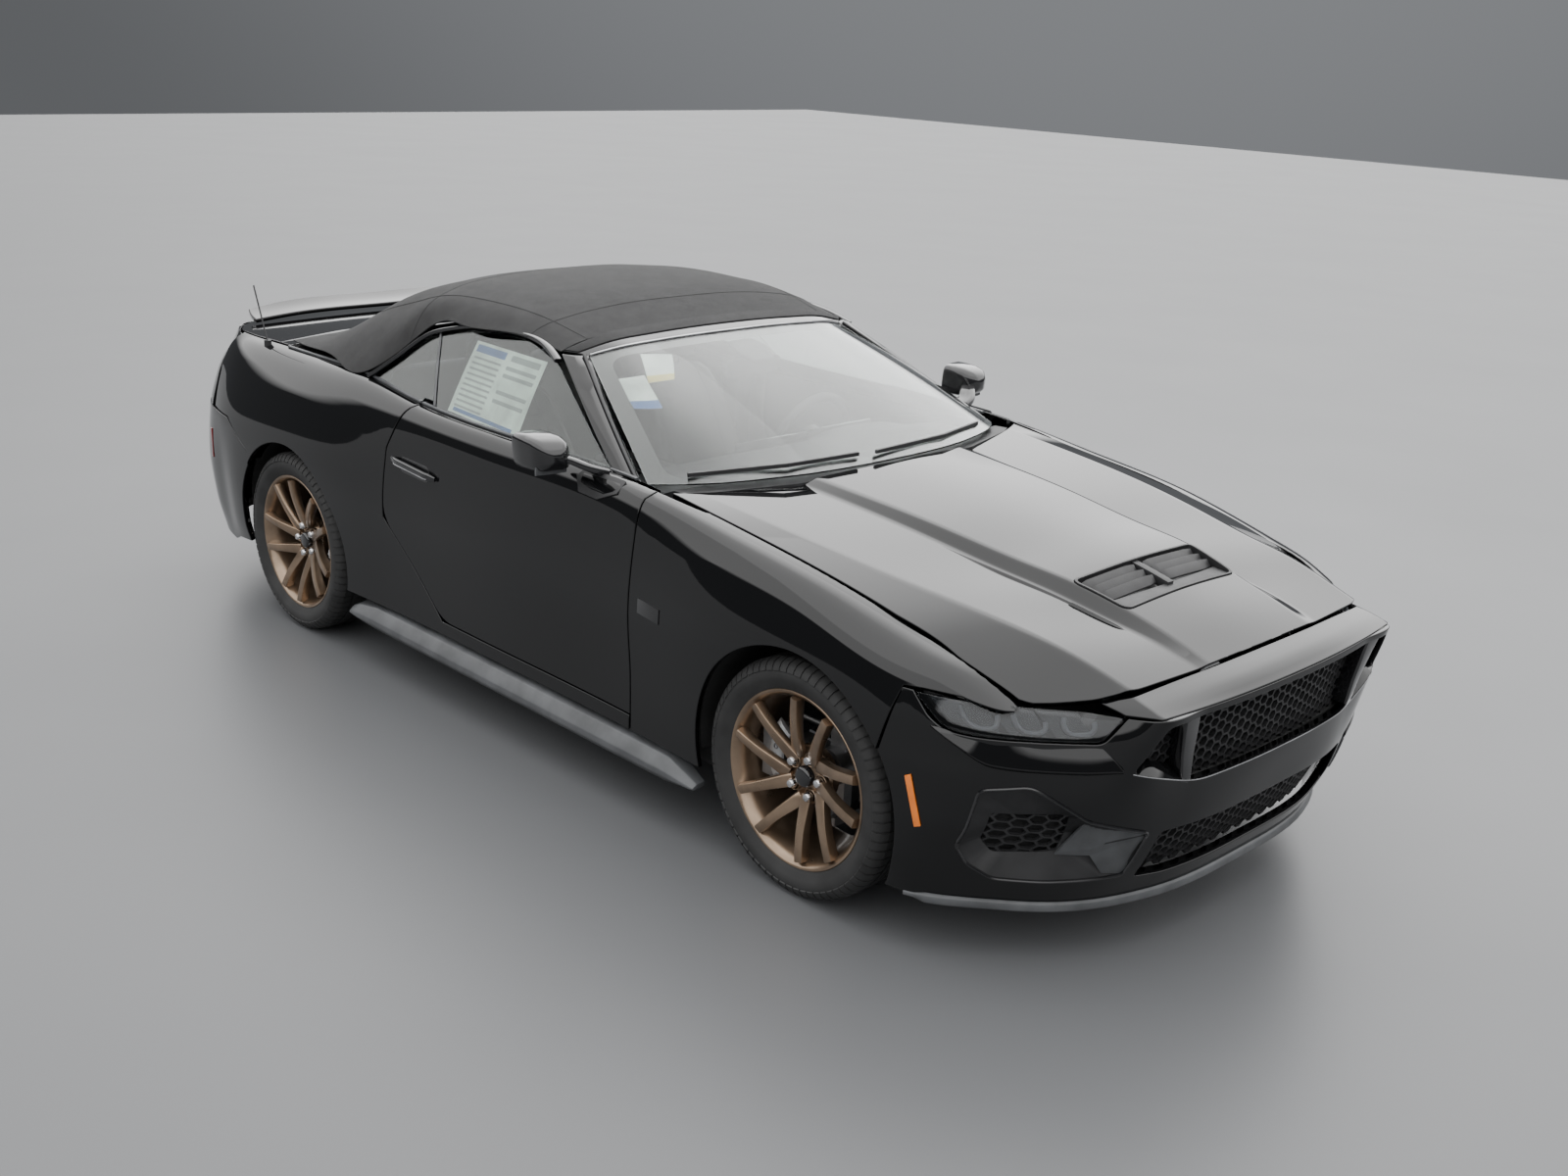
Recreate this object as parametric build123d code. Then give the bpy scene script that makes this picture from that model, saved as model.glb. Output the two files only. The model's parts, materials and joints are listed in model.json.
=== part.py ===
from build123d import *
import math
import os

# A two-door convertible muscle car with its soft top up, in millimetres.
# Frame: origin on the floor under the middle of the car, +Z up, nose towards -Y,
# the car's own left side towards +X. Left pieces are drawn, right ones mirrored.

# ---------------------------------------------------------------- driving dimensions
WHEELBASE = 2719.0
FRONT_AXLE_Y = -1455.5
REAR_AXLE_Y = FRONT_AXLE_Y + WHEELBASE
FRONT_TRACK_HALF = 791.0
REAR_TRACK_HALF = 805.0
TYRE_R = 343.0
TYRE_WIDTH = 255.0
ARCH_R = 386.0
LINER_R = 392.0
LINER_WALL = 6.0
RIM_R = 247.0
RIM_FLANGE = 10.0
DISC_R = 178.0
DISC_WALL = 32.0
LUG_COUNT = 5
LUG_PCD_R = 57.15
LUG_R = 11.0
SPOKE_PAIRS = 5
# Turn of the first spoke pair about its axle, front and rear, in degrees.
FRONT_SPOKE_TURN = 48.0
REAR_SPOKE_TURN = 0.0
KINGPIN_X = 752.0
SPINDLE_R = 20.0
SPINDLE_PLAY = 0.05
KINGPIN_R = 9.0
ARM_END_X = KINGPIN_X + 2.0

PANEL_GAP = 6.0
SEAT_GAP = 0.3
FENDER_WALL = 26.0
QUARTER_WALL = 55.0
DOOR_IN_X = 798.0
HOOD_WALL = 22.0
LID_WALL = 24.0
BUMPER_WALL = 36.0
TOP_WALL = 26.0
TOP_FOOT_Z = 1040.0
GLASS_WALL = 5.0
SPLITTER_WALL = 14.0
SILL_Z = 165.0
ROCKER_TOP_Z = 252.0
DOOR_BOTTOM_Z = 303.0
FLOOR_Z = 200.0
FLOOR_WALL = 22.0
FIREWALL_Y = -690.0
FIREWALL_HALF = 742.0
PLATE_HOLE_PITCH = 177.8
PLATE_HOLE_R = 3.5

# Door hinge: a vertical axis just inside the skin behind the door's front edge.
DOOR_HINGE_X = 884.0
DOOR_HINGE_Y = -698.0
DOOR_EDGE_R = 50.0
HINGE_PIN_R = 5.0
HINGE_KNUCKLE_R = 11.0
HINGE_HEIGHTS = (450.0, 760.0)
HINGE_HALF = 22.0

HOOD_HINGE_Y = -764.0
HOOD_HINGE_Z = 986.0
HINGE_PLATE = 6.0
LAMP_GAP = 0.8
LID_FRONT_Y = 1640.0
LID_HINGE_Z = 1056.0

# Body side, left: y, then (x, z) of edge, crest, shoulder, wide, low, sill.
SIDE = (
    (-2085, ((752, 714), (795, 710), (832, 700), (848, 660), (850, 600), (850, 540))),
    (-1970, ((770, 779), (822, 768), (866, 738), (892, 660), (897, 560), (896, 400))),
    (-1825, ((773, 818), (836, 806), (893, 762), (922, 660), (930, 520), (925, 240))),
    (-1455, ((788, 899), (848, 890), (908, 842), (944, 700), (948, 560), (930, 240))),
    (-1095, ((789, 946), (850, 936), (902, 872), (940, 690), (932, 480), (918, 240))),
    (-740, ((791, 984), (848, 978), (893, 880), (918, 640), (906, 430), (905, 240))),
    (-60, ((808, 1000), (850, 990), (893, 872), (915, 640), (903, 430), (902, 240))),
    (600, ((800, 1014), (848, 1003), (900, 880), (926, 650), (910, 430), (905, 240))),
    (930, ((776, 1038), (824, 1026), (906, 905), (948, 680), (935, 450), (922, 240))),
    (1263, ((762, 1036), (815, 1020), (905, 915), (957, 690), (955, 520), (930, 240))),
    (1600, ((752, 1030), (804, 1014), (890, 905), (948, 690), (940, 450), (912, 240))),
    (1860, ((738, 1022), (782, 1006), (855, 900), (914, 690), (906, 450), (872, 240))),
    (2060, ((706, 1014), (738, 996), (806, 892), (852, 690), (850, 460), (815, 260))),
)

# Hood, half: y, then (x, z) of centre, dome edge, dome foot, crease, edge.
HOOD = (
    (-760, ((0, 1012), (345, 1003), (395, 986), (716, 984), (785, 986))),
    (-1095, ((0, 990), (330, 980), (376, 958), (704, 958), (783, 948))),
    (-1409, ((0, 962), (315, 952), (355, 924), (682, 926), (781, 907))),
    (-1677, ((0, 930), (298, 919), (332, 886), (640, 892), (777, 860))),
    (-1858, ((0, 908), (284, 900), (314, 860), (606, 868), (766, 814))),
    (-2032, ((0, 869), (262, 860), (302, 832), (586, 842), (748, 752))),
    (-2150, ((0, 836), (252, 828), (296, 812), (570, 812), (680, 735))),
    (-2300, ((0, 780), (245, 778), (290, 774), (555, 766), (630, 722))),
)
# Plan of the hood's front and rear seams, (x, y) from the centre outwards.
HOOD_FRONT_SEAM = ((0, -2288), (250, -2284), (555, -2262), (622, -2202), (745, -2066))
HOOD_REAR_SEAM = ((0, -958), (400, -925), (680, -835), (790, -772))

# Nose: z, then (x, y) of centre, grille corner, lamp root, corner, turn.
NOSE = (
    (172, ((0, -2300), (390, -2268), (600, -2185), (745, -2058), (850, -1930))),
    (300, ((0, -2345), (390, -2318), (600, -2240), (755, -2110), (862, -1965))),
    (420, ((0, -2372), (390, -2348), (600, -2285), (765, -2160), (876, -1985))),
    (540, ((0, -2392), (390, -2366), (600, -2302), (772, -2170), (884, -1985))),
    (650, ((0, -2405.5), (390, -2380), (600, -2305), (760, -2160), (876, -1975))),
    (735, ((0, -2402), (390, -2378), (585, -2310), (742, -2130), (860, -1950))),
    (782, ((0, -2300), (390, -2290), (558, -2268), (640, -2200), (760, -2060))),
)
NOSE_SIDE_Y = (-1880.0, -1790.0)

# Tail: z, then (x, y) of centre, inner, lamp, corner, turn.
TAIL = (
    (200, ((0, 2330), (400, 2315), (620, 2262), (752, 2150), (822, 2040))),
    (340, ((0, 2385), (400, 2370), (640, 2308), (785, 2180), (856, 2040))),
    (520, ((0, 2405.5), (400, 2390), (650, 2328), (800, 2190), (872, 2040))),
    (700, ((0, 2398), (400, 2382), (650, 2315), (795, 2170), (866, 2030))),
    (860, ((0, 2345), (400, 2330), (640, 2262), (768, 2110), (836, 1980))),
    (1000, ((0, 2285), (400, 2270), (620, 2205), (722, 2060), (786, 1900))),
)
TAIL_SIDE_Y = (1860.0, 1760.0)
TAIL_SPLIT_Z = 735.0

# Deck, half: y, then (x, z) of centre, crown, edge.
DECK = (
    (1552, ((0, 1058), (480, 1053), (745, 1036))),
    (1860, ((0, 1048), (470, 1042), (730, 1024))),
    (2060, ((0, 1036), (450, 1030), (698, 1014))),
    (2275, ((0, 1024), (420, 1018), (640, 1004))),
)
DECK_SIDE_SEAM = ((746, 1552), (731, 1860), (698, 2060), (600, 2200), (400, 2262), (0, 2278))

# Soft top, half: y, then (x, z) of centre, crown, side edge.
TOP = (
    (-45, ((0, 1322), (440, 1300), (634, 1262))),
    (150, ((0, 1374), (465, 1350), (655, 1290))),
    (450, ((0, 1400), (480, 1374), (676, 1272))),
    (700, ((0, 1393), (485, 1362), (668, 1218))),
    (900, ((0, 1362), (500, 1328), (788, 1054))),
    (1150, ((0, 1288), (510, 1252), (780, 1056))),
    (1400, ((0, 1164), (515, 1118), (752, 1056))),
    (1545, ((0, 1072), (515, 1070), (738, 1056))),
)
# Side glass opening in the y-z plane: belt, then back over the top edge.
WINDOW = ((-560, 985), (820, 985), (880, 1036), (640, 1212), (450, 1262), (130, 1278), (-76, 1236))
GLASS_SPLIT = ((436, 1006), (600, 1225))

# Windscreen, half: (x, y, z) of the lower and upper edge, centre outwards.
SCREEN_LOW = ((0, -942, 1004), (400, -898, 1000), (700, -762, 990), (782, -668, 982))
SCREEN_TOP = ((0, -168, 1292), (300, -160, 1286), (480, -140, 1272), (575, -112, 1252))
HEADER_REAR = ((0, -52, 1320), (300, -52, 1312), (480, -52, 1298), (632, -52, 1262))
# Left windscreen pillar: four corners (x, y, z) at its top and its foot.
PILLAR = (
    ((572, -114, 1254), (628, -104, 1256), (644, -54, 1258), (584, -54, 1244)),
    ((783, -668, 955), (826, -664, 955), (830, -600, 955), (790, -600, 955)),
)

# Seams seen from the side, (y, z): fender to nose cover, quarter panel to tail cover.
NOSE_SEAM = ((-1822, 742), (-1778, 560))
TAIL_SEAM = ((1560, 640), (1762, TAIL_SPLIT_Z))
# Openings in the nose cover seen from the front, (x, z).
LAMP_FRONT = ((556, 724), (640, 662), (760, 656), (820, 645), (884, 676), (915, 737), (740, 733))
GRILLE = ((-545, 715), (545, 715), (598, 590), (380, 522), (0, 528), (-380, 522), (-598, 590))
LOW_INTAKE = ((-560, 330), (-480, 410), (480, 410), (560, 330), (430, 250), (-430, 250))
SIDE_INTAKE = ((700, 396), (860, 545), (905, 520), (850, 330), (740, 300))
LAMP_DEPTH = 80.0
NOSE_BOTTOM_Z = 172.0
SPLITTER_LIP = 14.0
# Hood vent: half its plan (x, y), and (y, z) of each louvre's rear edge.
VENT_PLAN = ((284, -1858), (259, -2032))
VENT_LOUVRES = ((-1868, 897), (-1898, 889), (-1928, 881), (-1958, 873), (-1988, 866))
# Hinge plates under the hood and the lid, seen from the side, (y, z).
HOOD_PLATE_X = 690.0
HOOD_PLATE = ((-960, 946), (-850, 958), (-850, 930), (-960, 920))
LID_PLATE_X = 560.0
LID_PLATE = ((1660, 1032), (1760, 1028), (1760, 1000), (1660, 1000))
# Mirror head: y, bottom z, top z, draw-in of the outer face.
MIRROR = ((-470, 1010, 1086, 30), (-430, 996, 1104, 6), (-330, 994, 1108, 6))
REAR_PANE = ((-356, 1194), (356, 1194), (396, 1436), (-396, 1436))
# Rear spoiler, half: y, then (x, z) of centre, crown, tip.
SPOILER = (
    (2120, ((0, 1058), (440, 1052), (600, 1038))),
    (2262, ((0, 1080), (420, 1072), (560, 1054))),
)
LAMP_IN_X = 250.0
PLATE_FACE_Y = 2405.0
PLATE_HOLE_Z = 610.0
LOW_CUT_Z = 330.0
TIP_X = (400.0, 505.0)
TIP_Z = 262.0
TIP_R = 44.0
TIP_END_Y = 2345.0
PIPE_Z = 165.0
SEAT_X = 400.0
ANTENNA_Y = 1670.0
DOOR_CLEAR = 12.0
PILLAR_CLEAR_X = 836.0
STOP_R = 12.0
# Wiper blades along the foot of the windscreen, (x, y, z) from pivot to tip.
WIPERS = (
    ((-690, -742, 1012), (-400, -868, 1026), (-130, -905, 1030)),
    ((-60, -914, 1028), (300, -884, 1025), (560, -808, 1018)),
)

PARTS = "parts"
NODES = {}


# ---------------------------------------------------------------- helpers
def ring(points):
    """A closed planar wire through the given (x, y, z) points."""
    return Wire.make_polygon([Vector(*p) for p in points], close=True)


def loft(rings):
    """A ruled solid through closed outlines with equal numbers of points."""
    return Solid.make_loft([ring(points) for points in rings], ruled=True)


def box(x0, x1, y0, y1, z0, z1):
    """A box between two corners."""
    size = Solid.make_box(abs(x1 - x0), abs(y1 - y0), abs(z1 - z0))
    return size.moved(Location((min(x0, x1), min(y0, y1), min(z0, z1))))


def prism_x(points, x0, x1):
    """Outline of (y, z) points pushed along X."""
    face = Face(ring([(x0, y, z) for y, z in points]))
    return Solid.extrude(face, Vector(x1 - x0, 0, 0))


def prism_y(points, y0, y1):
    """Outline of (x, z) points pushed along Y."""
    face = Face(ring([(x, y0, z) for x, z in points]))
    return Solid.extrude(face, Vector(0, y1 - y0, 0))


def prism_z(points, z0, z1):
    """Outline of (x, y) points pushed along Z."""
    face = Face(ring([(x, y, z0) for x, y in points]))
    return Solid.extrude(face, Vector(0, 0, z1 - z0))


def disc_x(y, z, radius, x0, x1):
    """A cylinder along X between x0 and x1."""
    plane = Plane(origin=(min(x0, x1), y, z), x_dir=(0, 1, 0), z_dir=(1, 0, 0))
    return Solid.make_cylinder(radius, abs(x1 - x0), plane)


def post(x, y, radius, z0, z1):
    """A cylinder along Z between z0 and z1."""
    return Solid.make_cylinder(radius, z1 - z0, Plane(origin=(x, y, z0)))


def rod(start, end, radius):
    """A round bar between two points."""
    way = Vector(*end) - Vector(*start)
    return Solid.make_cylinder(radius, way.length, Plane(origin=start, z_dir=way))


def beam(start, end, width, height):
    """A square bar between two points, its width level."""
    way = Vector(*end) - Vector(*start)
    level = way.cross(Vector(0, 0, 1))
    plane = Plane(origin=start, x_dir=level, z_dir=way)
    face = Face(Wire.make_rect(width, height, plane))
    return Solid.extrude(face, way)


def mirrored(shape):
    """The same shape on the other side of the car."""
    return shape.mirror(Plane.YZ)


def both(shape):
    """A shape and its mirror image as separate solids."""
    return [*shape.solids(), *mirrored(shape).solids()]


def fused(shapes):
    """One shape from several that touch or overlap."""
    shapes = list(shapes)
    whole = shapes[0]
    for shape in shapes[1:]:
        whole = whole + shape
    return whole


def offset_line(points, wall, turn):
    """An open flat line moved sideways by wall; turn is +1 for left, -1 for right."""
    normals = []
    for (a0, b0), (a1, b1) in zip(points, points[1:]):
        span = math.hypot(a1 - a0, b1 - b0)
        normals.append((-turn * (b1 - b0) / span, turn * (a1 - a0) / span))
    moved = []
    for index, (a, b) in enumerate(points):
        before = normals[max(index - 1, 0)]
        after = normals[min(index, len(normals) - 1)]
        na, nb = before[0] + after[0], before[1] + after[1]
        share = 2 / (na * na + nb * nb)
        share = min(share, 1.0) if share > 1.4 else share
        moved.append((a + na * share * wall, b + nb * share * wall))
    return moved


def between(table, place):
    """Columns of a table row, worked out in a straight line between two rows."""
    rows = sorted(table)
    low = max((row for row in rows if row[0] <= place), default=rows[0], key=lambda r: r[0])
    high = min((row for row in rows if row[0] >= place), default=rows[-1], key=lambda r: r[0])
    if high[0] == low[0]:
        return [tuple(point) for point in low[1]]
    share = (place - low[0]) / (high[0] - low[0])
    return [
        (a0 + (a1 - a0) * share, b0 + (b1 - b0) * share)
        for (a0, b0), (a1, b1) in zip(low[1], high[1])
    ]


def stations(table, start, end):
    """The table's own places between two ends, with the ends."""
    inner = [row[0] for row in sorted(table) if start < row[0] < end]
    return [start, *inner, end]


def side_x(y, z):
    """Half-width of the body side at a height."""
    line = between(SIDE, y)
    for (x0, z0), (x1, z1) in zip(line, line[1:]):
        if z1 <= z <= z0:
            return x0 + (x1 - x0) * (z0 - z) / (z0 - z1)
    return line[-1][0] if z < line[-1][1] else line[0][0]


def side_shell(start, end, wall, top=0):
    """The left body side between two stations, from column top down to the sill."""
    rings = []
    for y in stations(SIDE, start, end):
        outer = between(SIDE, y)[top:]
        inner = offset_line(outer, wall, -1)
        rings.append([(x, y, z) for x, z in [*outer, *reversed(inner)]])
    return loft(rings)


def side_layer(start, end, near, far, columns):
    """A layer under the left body side, between two depths, over the first columns."""
    rings = []
    for y in stations(SIDE, start, end):
        outer = between(SIDE, y)
        upper = offset_line(outer, near, -1)[:columns]
        lower = offset_line(outer, far, -1)[:columns]
        rings.append([(x, y, z) for x, z in [*upper, *reversed(lower)]])
    return loft(rings)


def crown_shell(table, start, end, wall):
    """A full-width panel from half sections, symmetric about the middle."""
    rings = []
    for y in stations(table, start, end):
        half = between(table, y)
        inner = offset_line(half, wall, -1)
        inner[0] = (0, half[0][1] - wall)
        upper = [(-x, z) for x, z in reversed(half)][:-1] + half
        lower = [(-x, z) for x, z in reversed(inner)][:-1] + inner
        rings.append([(x, y, z) for x, z in [*upper, *reversed(lower)]])
    return loft(rings)


def wrap_line(table, sides, z, turn, depth):
    """Half the plan line of a bumper at one height and depth, from the middle outwards."""
    half = between(table, z)
    outer = [*half, *[(side_x(y, min(z, 1000)), y) for y in sides]]
    line = offset_line(outer, depth, turn)
    line[0] = (0, outer[0][1] + turn * depth)
    line[-1] = (line[-1][0], outer[-1][1])
    return line


def wrap_shell(table, sides, start, end, turn, wall, near=0.0):
    """A bumper that wraps round the car between two heights and two depths."""
    rings = []
    for z in stations(table, start, end):
        outer = wrap_line(table, sides, z, turn, near)
        inner = wrap_line(table, sides, z, turn, wall)
        ends = [(-x, y) for x, y in reversed(outer)][:-1] + outer
        backs = [(-x, y) for x, y in reversed(inner)][:-1] + inner
        rings.append([(x, y, z) for x, y in [*ends, *reversed(backs)]])
    return loft(rings)


def biggest(shape):
    """The largest solid of a shape, so that loose offcuts drop out."""
    return max(shape.solids(), key=lambda piece: piece.volume)


def under(shape, table, wall):
    """What of a shape lies below a crowned panel, to within the seat gap."""
    places = sorted(row[0] for row in table)
    panel = crown_shell(table, places[0], places[-1], wall + SEAT_GAP)
    pieces = (shape - panel).solids()
    return min(pieces, key=lambda piece: piece.bounding_box().min.Z)


def save(name, shape):
    """Keep a node to be written; a list is written as one node of several solids."""
    solids = []
    for piece in shape if isinstance(shape, list) else [shape]:
        solids.extend(piece.solids())
    NODES[name] = Compound(solids) if len(solids) > 1 else solids[0]


def save_pair(name, shape):
    """Keep a left piece and its mirror image as two nodes."""
    save(name + "_left", shape)
    save(name + "_right", mirrored(shape))


# ---------------------------------------------------------------- body side panels
def arch_hole(axle_y, radius=ARCH_R):
    """The wheel opening's cylinder on the left."""
    return disc_x(axle_y, TYRE_R, radius, 300, 1200)


def door_zone(grow):
    """The door's outline seen from the side; grow opens it by the shut gap."""
    front = DOOR_HINGE_Y
    bottom = DOOR_BOTTOM_Z - grow
    outline = [
        (front, 1100), (front, bottom), (284 + grow * 0.4, bottom),
        (602 + grow, 600), (598 + grow, 850), (512 + grow, 1100),
    ]
    zone = prism_x(outline, 300, 1200)
    nose = post(DOOR_HINGE_X, DOOR_HINGE_Y, DOOR_EDGE_R + grow, bottom, 1100)
    inner = box(300, DOOR_HINGE_X, front - DOOR_EDGE_R - grow, front, bottom, 1100)
    return zone + nose + inner


def fenders():
    shell = side_shell(-2085, DOOR_HINGE_Y - 20, FENDER_WALL)
    ahead = [(-2200, 738), *NOSE_SEAM, (-1778, 100), (-2200, 100)]
    below = box(300, 1200, -1200, -600, 0, ROCKER_TOP_Z)
    fender = shell - arch_hole(FRONT_AXLE_Y) - prism_x(ahead, 300, 1200) - below
    fender = biggest(fender - door_zone(PANEL_GAP))
    save_pair("front_fender", fender)
    return fender


def quarters(glass):
    shell = side_shell(DOOR_HINGE_Y - 20, 1990, QUARTER_WALL)
    shell = shell - box(300, 1200, -1000, 1990, 0, ROCKER_TOP_Z)
    shell = shell - door_zone(PANEL_GAP) - arch_hole(REAR_AXLE_Y)
    seam = [(1560, 0), *TAIL_SEAM, (1762, 1200), (2300, 1200), (2300, 0)]
    corner = wrap_shell(TAIL, TAIL_SIDE_Y, TAIL_SPLIT_Z, 1000, -1, QUARTER_WALL)
    corner = corner & box(560, 1200, TAIL_SEAM[1][0], 2500, 0, 1200)
    quarter = (shell - prism_x(seam, 300, 1200)) + corner
    quarter = biggest(quarter - deck_zone(PANEL_GAP) - glass)
    save_pair("quarter_panel", quarter)
    return quarter


def deck_zone(grow):
    """The rear deck and lid seen from above, opened by grow at its sides and tail."""
    side = [(x + grow, y + (grow if y > 2000 else 0)) for x, y in DECK_SIDE_SEAM]
    plan = [(side[0][0], 1400), *side[:-1], (0, side[-1][1]), (0, 1400)]
    return prism_z(plan, 930, 1200)


def door_block(inner_x):
    """The full thickness of a left door between its skin and its flat inner face."""
    rings = []
    for y in stations(SIDE, DOOR_HINGE_Y - DOOR_EDGE_R - 12, 640):
        skin = between(SIDE, y)[1:]
        line = [(inner_x, skin[0][1] + 4), *skin, (inner_x, skin[-1][1])]
        rings.append([(x, y, z) for x, z in line])
    return loft(rings)


def doors(glass):
    shell = door_block(DOOR_IN_X) & door_zone(0)
    slot_x = DOOR_HINGE_X + HINGE_KNUCKLE_R + 3
    slot_y = (DOOR_HINGE_Y - DOOR_EDGE_R - 5, DOOR_HINGE_Y + HINGE_KNUCKLE_R + 3)
    for z in HINGE_HEIGHTS:
        low, high = z - HINGE_HALF - 1, z + HINGE_HALF + 1
        shell = shell - box(700, slot_x, *slot_y, low, high)
        shell = shell + post(DOOR_HINGE_X, DOOR_HINGE_Y, HINGE_PIN_R, low, high)
    handle = loft([
        [(side_x(y, 822) + out, y, 822), (side_x(y, 792) + out, y, 792),
         (side_x(y, 792) - 4, y, 792), (side_x(y, 822) - 4, y, 822)]
        for y, out in ((285, 4), (310, 26), (530, 26), (556, 4))
    ])
    foot = box(700, PILLAR_CLEAR_X, -800, -500, 945, 1100)
    door = biggest(shell + handle - glass - foot)
    save_pair("door", door)
    return door


def glass_sheet(play):
    """The leaning plane of the side glass, thickened by play on each face."""
    return loft([
        [(low + play, y, 960), (top + play, y, 1290),
         (top - GLASS_WALL - play, y, 1290), (low - GLASS_WALL - play, y, 960)]
        for y, low, top in ((-700, 838, 630), (950, 832, 626))
    ])


def side_glass():
    """Door glass and quarter glass, leaning in from the belt to the roof."""
    sheet = glass_sheet(0) & prism_x(WINDOW, 300, 1200)
    (y0, z0), (y1, z1) = GLASS_SPLIT
    front = [(-1000, 900), (y0, 900), (y0, z0), (y1, z1), (y1, 1400), (-1000, 1400)]
    rear = [(614, 900), (614, 1030), (y1 + 8, z1), (y1 + 8, 1400), (1200, 1400), (1200, 900)]
    save_pair("door_glass", biggest(sheet & prism_x(front, 300, 1200)))
    save("quarter_glass", both(biggest(sheet & prism_x(rear, 300, 1200))))


def mirrors(door):
    head = loft([
        [(912, y, z0), (1038 - slope, y, z0 + 12), (1038 - slope, y, z1 - 18), (912, y, z1)]
        for y, z0, z1, slope in MIRROR
    ])
    stalk = loft([
        [(836, y, 980), (930, y + 10, 1020), (930, y + 10, 1046), (836, y, 1012)]
        for y in (-540, -460)
    ])
    save_pair("mirror", biggest((head + stalk) - door))


# ---------------------------------------------------------------- front end
def hood_plan(grow):
    """The hood seen from above, opened by grow."""
    front = [(x + grow, y - grow) for x, y in HOOD_FRONT_SEAM]
    rear = [(x + grow, y + grow) for x, y in reversed(HOOD_REAR_SEAM)]
    half = [*front, *rear]
    return [(-x, y) for x, y in reversed(half[1:-1])], [(0, front[0][1]), *half[1:-1], (0, rear[-1][1])]


def hood():
    left, right = hood_plan(0)
    panel = crown_shell(HOOD, -2300, -760, HOOD_WALL) & prism_z([*right, *left], 600, 1100)
    half = [(x, y) for x, y in VENT_PLAN]
    opening = [*half, *[(-x, y) for x, y in reversed(half)]]
    vent = prism_z(opening, 780, 1100)
    panel = biggest(panel - vent)
    plate = prism_x(HOOD_PLATE, HOOD_PLATE_X, HOOD_PLATE_X + HINGE_PLATE)
    save("hood", panel + plate + mirrored(plate))
    rim = (crown_shell(HOOD, -2040, -1850, HOOD_WALL - 6) & vent).moved(Location((0, 0, -5)))
    for side in (-1, 1):
        well = [(side * x, y) for x, y in ((262, -1872), (240, -2018), (8, -2018), (8, -1872))]
        rim = rim - prism_z(well, 700, 1100)
    louvres = [
        prism_x([(y, z - 20), (y, z - 4), (y - 26, z - 14), (y - 26, z - 20)], -256, 256)
        for y, z in VENT_LOUVRES
    ]
    save("hood_vent", fused([rim, *louvres]))


def front_bumper():
    shell = wrap_shell(NOSE, NOSE_SIDE_Y, NOSE_BOTTOM_Z, 782, 1, BUMPER_WALL)
    holes = [
        prism_y(GRILLE, -2600, -2200), prism_y(LOW_INTAKE, -2600, -2200),
        *both(prism_y(LAMP_FRONT, -2600, -1700)), *both(prism_y(SIDE_INTAKE, -2600, -1950)),
        *both(arch_hole(FRONT_AXLE_Y)),
        *both(prism_x([(-1822, 900), *NOSE_SEAM, (-1778, 100), (-1600, 100), (-1600, 900)], 300, 1200)),
    ]
    left, right = hood_plan(3)
    holes.append(prism_z([*right, *left], 740, 1000))
    holes.extend(both(prism_z([(558, -2266), (900, -2100), (900, -1700), (558, -1700)], 737, 1000)))
    for hole in holes:
        shell = shell - hole
    bumper = biggest(shell)
    save("front_bumper", bumper)
    depth = wrap_shell(NOSE, NOSE_SIDE_Y, 600, 736.5, 1, LAMP_DEPTH)
    lamp = biggest(depth & prism_y(offset_zone(LAMP_FRONT, LAMP_GAP), -2600, -1830))
    left, right = hood_plan(PANEL_GAP)
    space = crown_shell(HOOD, -2300, -760, HOOD_WALL + PANEL_GAP) & prism_z([*right, *left], 600, 1100)
    lamp = biggest(lamp - prism_x([(-1822, 900), *NOSE_SEAM, (-1600, 560), (-1600, 900)], 300, 1200) - space)
    save("headlamps", both(lamp))
    return bumper, lamp


def offset_zone(points, inset):
    """An outline drawn in towards its middle by about inset."""
    cx = sum(p[0] for p in points) / len(points)
    cz = sum(p[1] for p in points) / len(points)
    shrunk = []
    for x, z in points:
        far = math.hypot(x - cx, z - cz)
        shrunk.append((x - (x - cx) * inset / far, z - (z - cz) * inset / far))
    return shrunk


def grilles():
    """Mesh panels that lie behind the bumper's openings."""
    near = BUMPER_WALL + SEAT_GAP
    layer = wrap_shell(NOSE, NOSE_SIDE_Y, 236, 733, 1, near + 12, near)
    pieces = []
    for zone in (GRILLE, LOW_INTAKE, SIDE_INTAKE, [(-x, z) for x, z in SIDE_INTAKE]):
        pieces.append(biggest(layer & prism_y(offset_zone(zone, -8), -2600, -1950)))
    save("front_grilles", pieces)


def splitter():
    outer = wrap_line(NOSE, NOSE_SIDE_Y, NOSE_BOTTOM_Z, 1, -SPLITTER_LIP)
    outer[-1] = (outer[-1][0], outer[-2][1] + 30)
    back = [(outer[-1][0] - 120, outer[-1][1]), (620, -1930)]
    half = [*outer, *back]
    plan = [*half, *[(-x, y) for x, y in reversed(half[1:])]]
    blade = prism_z(plan, NOSE_BOTTOM_Z - SPLITTER_WALL, NOSE_BOTTOM_Z)
    save("front_splitter", biggest(blade - arch_hole(FRONT_AXLE_Y) - mirrored(arch_hole(FRONT_AXLE_Y))))


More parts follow.
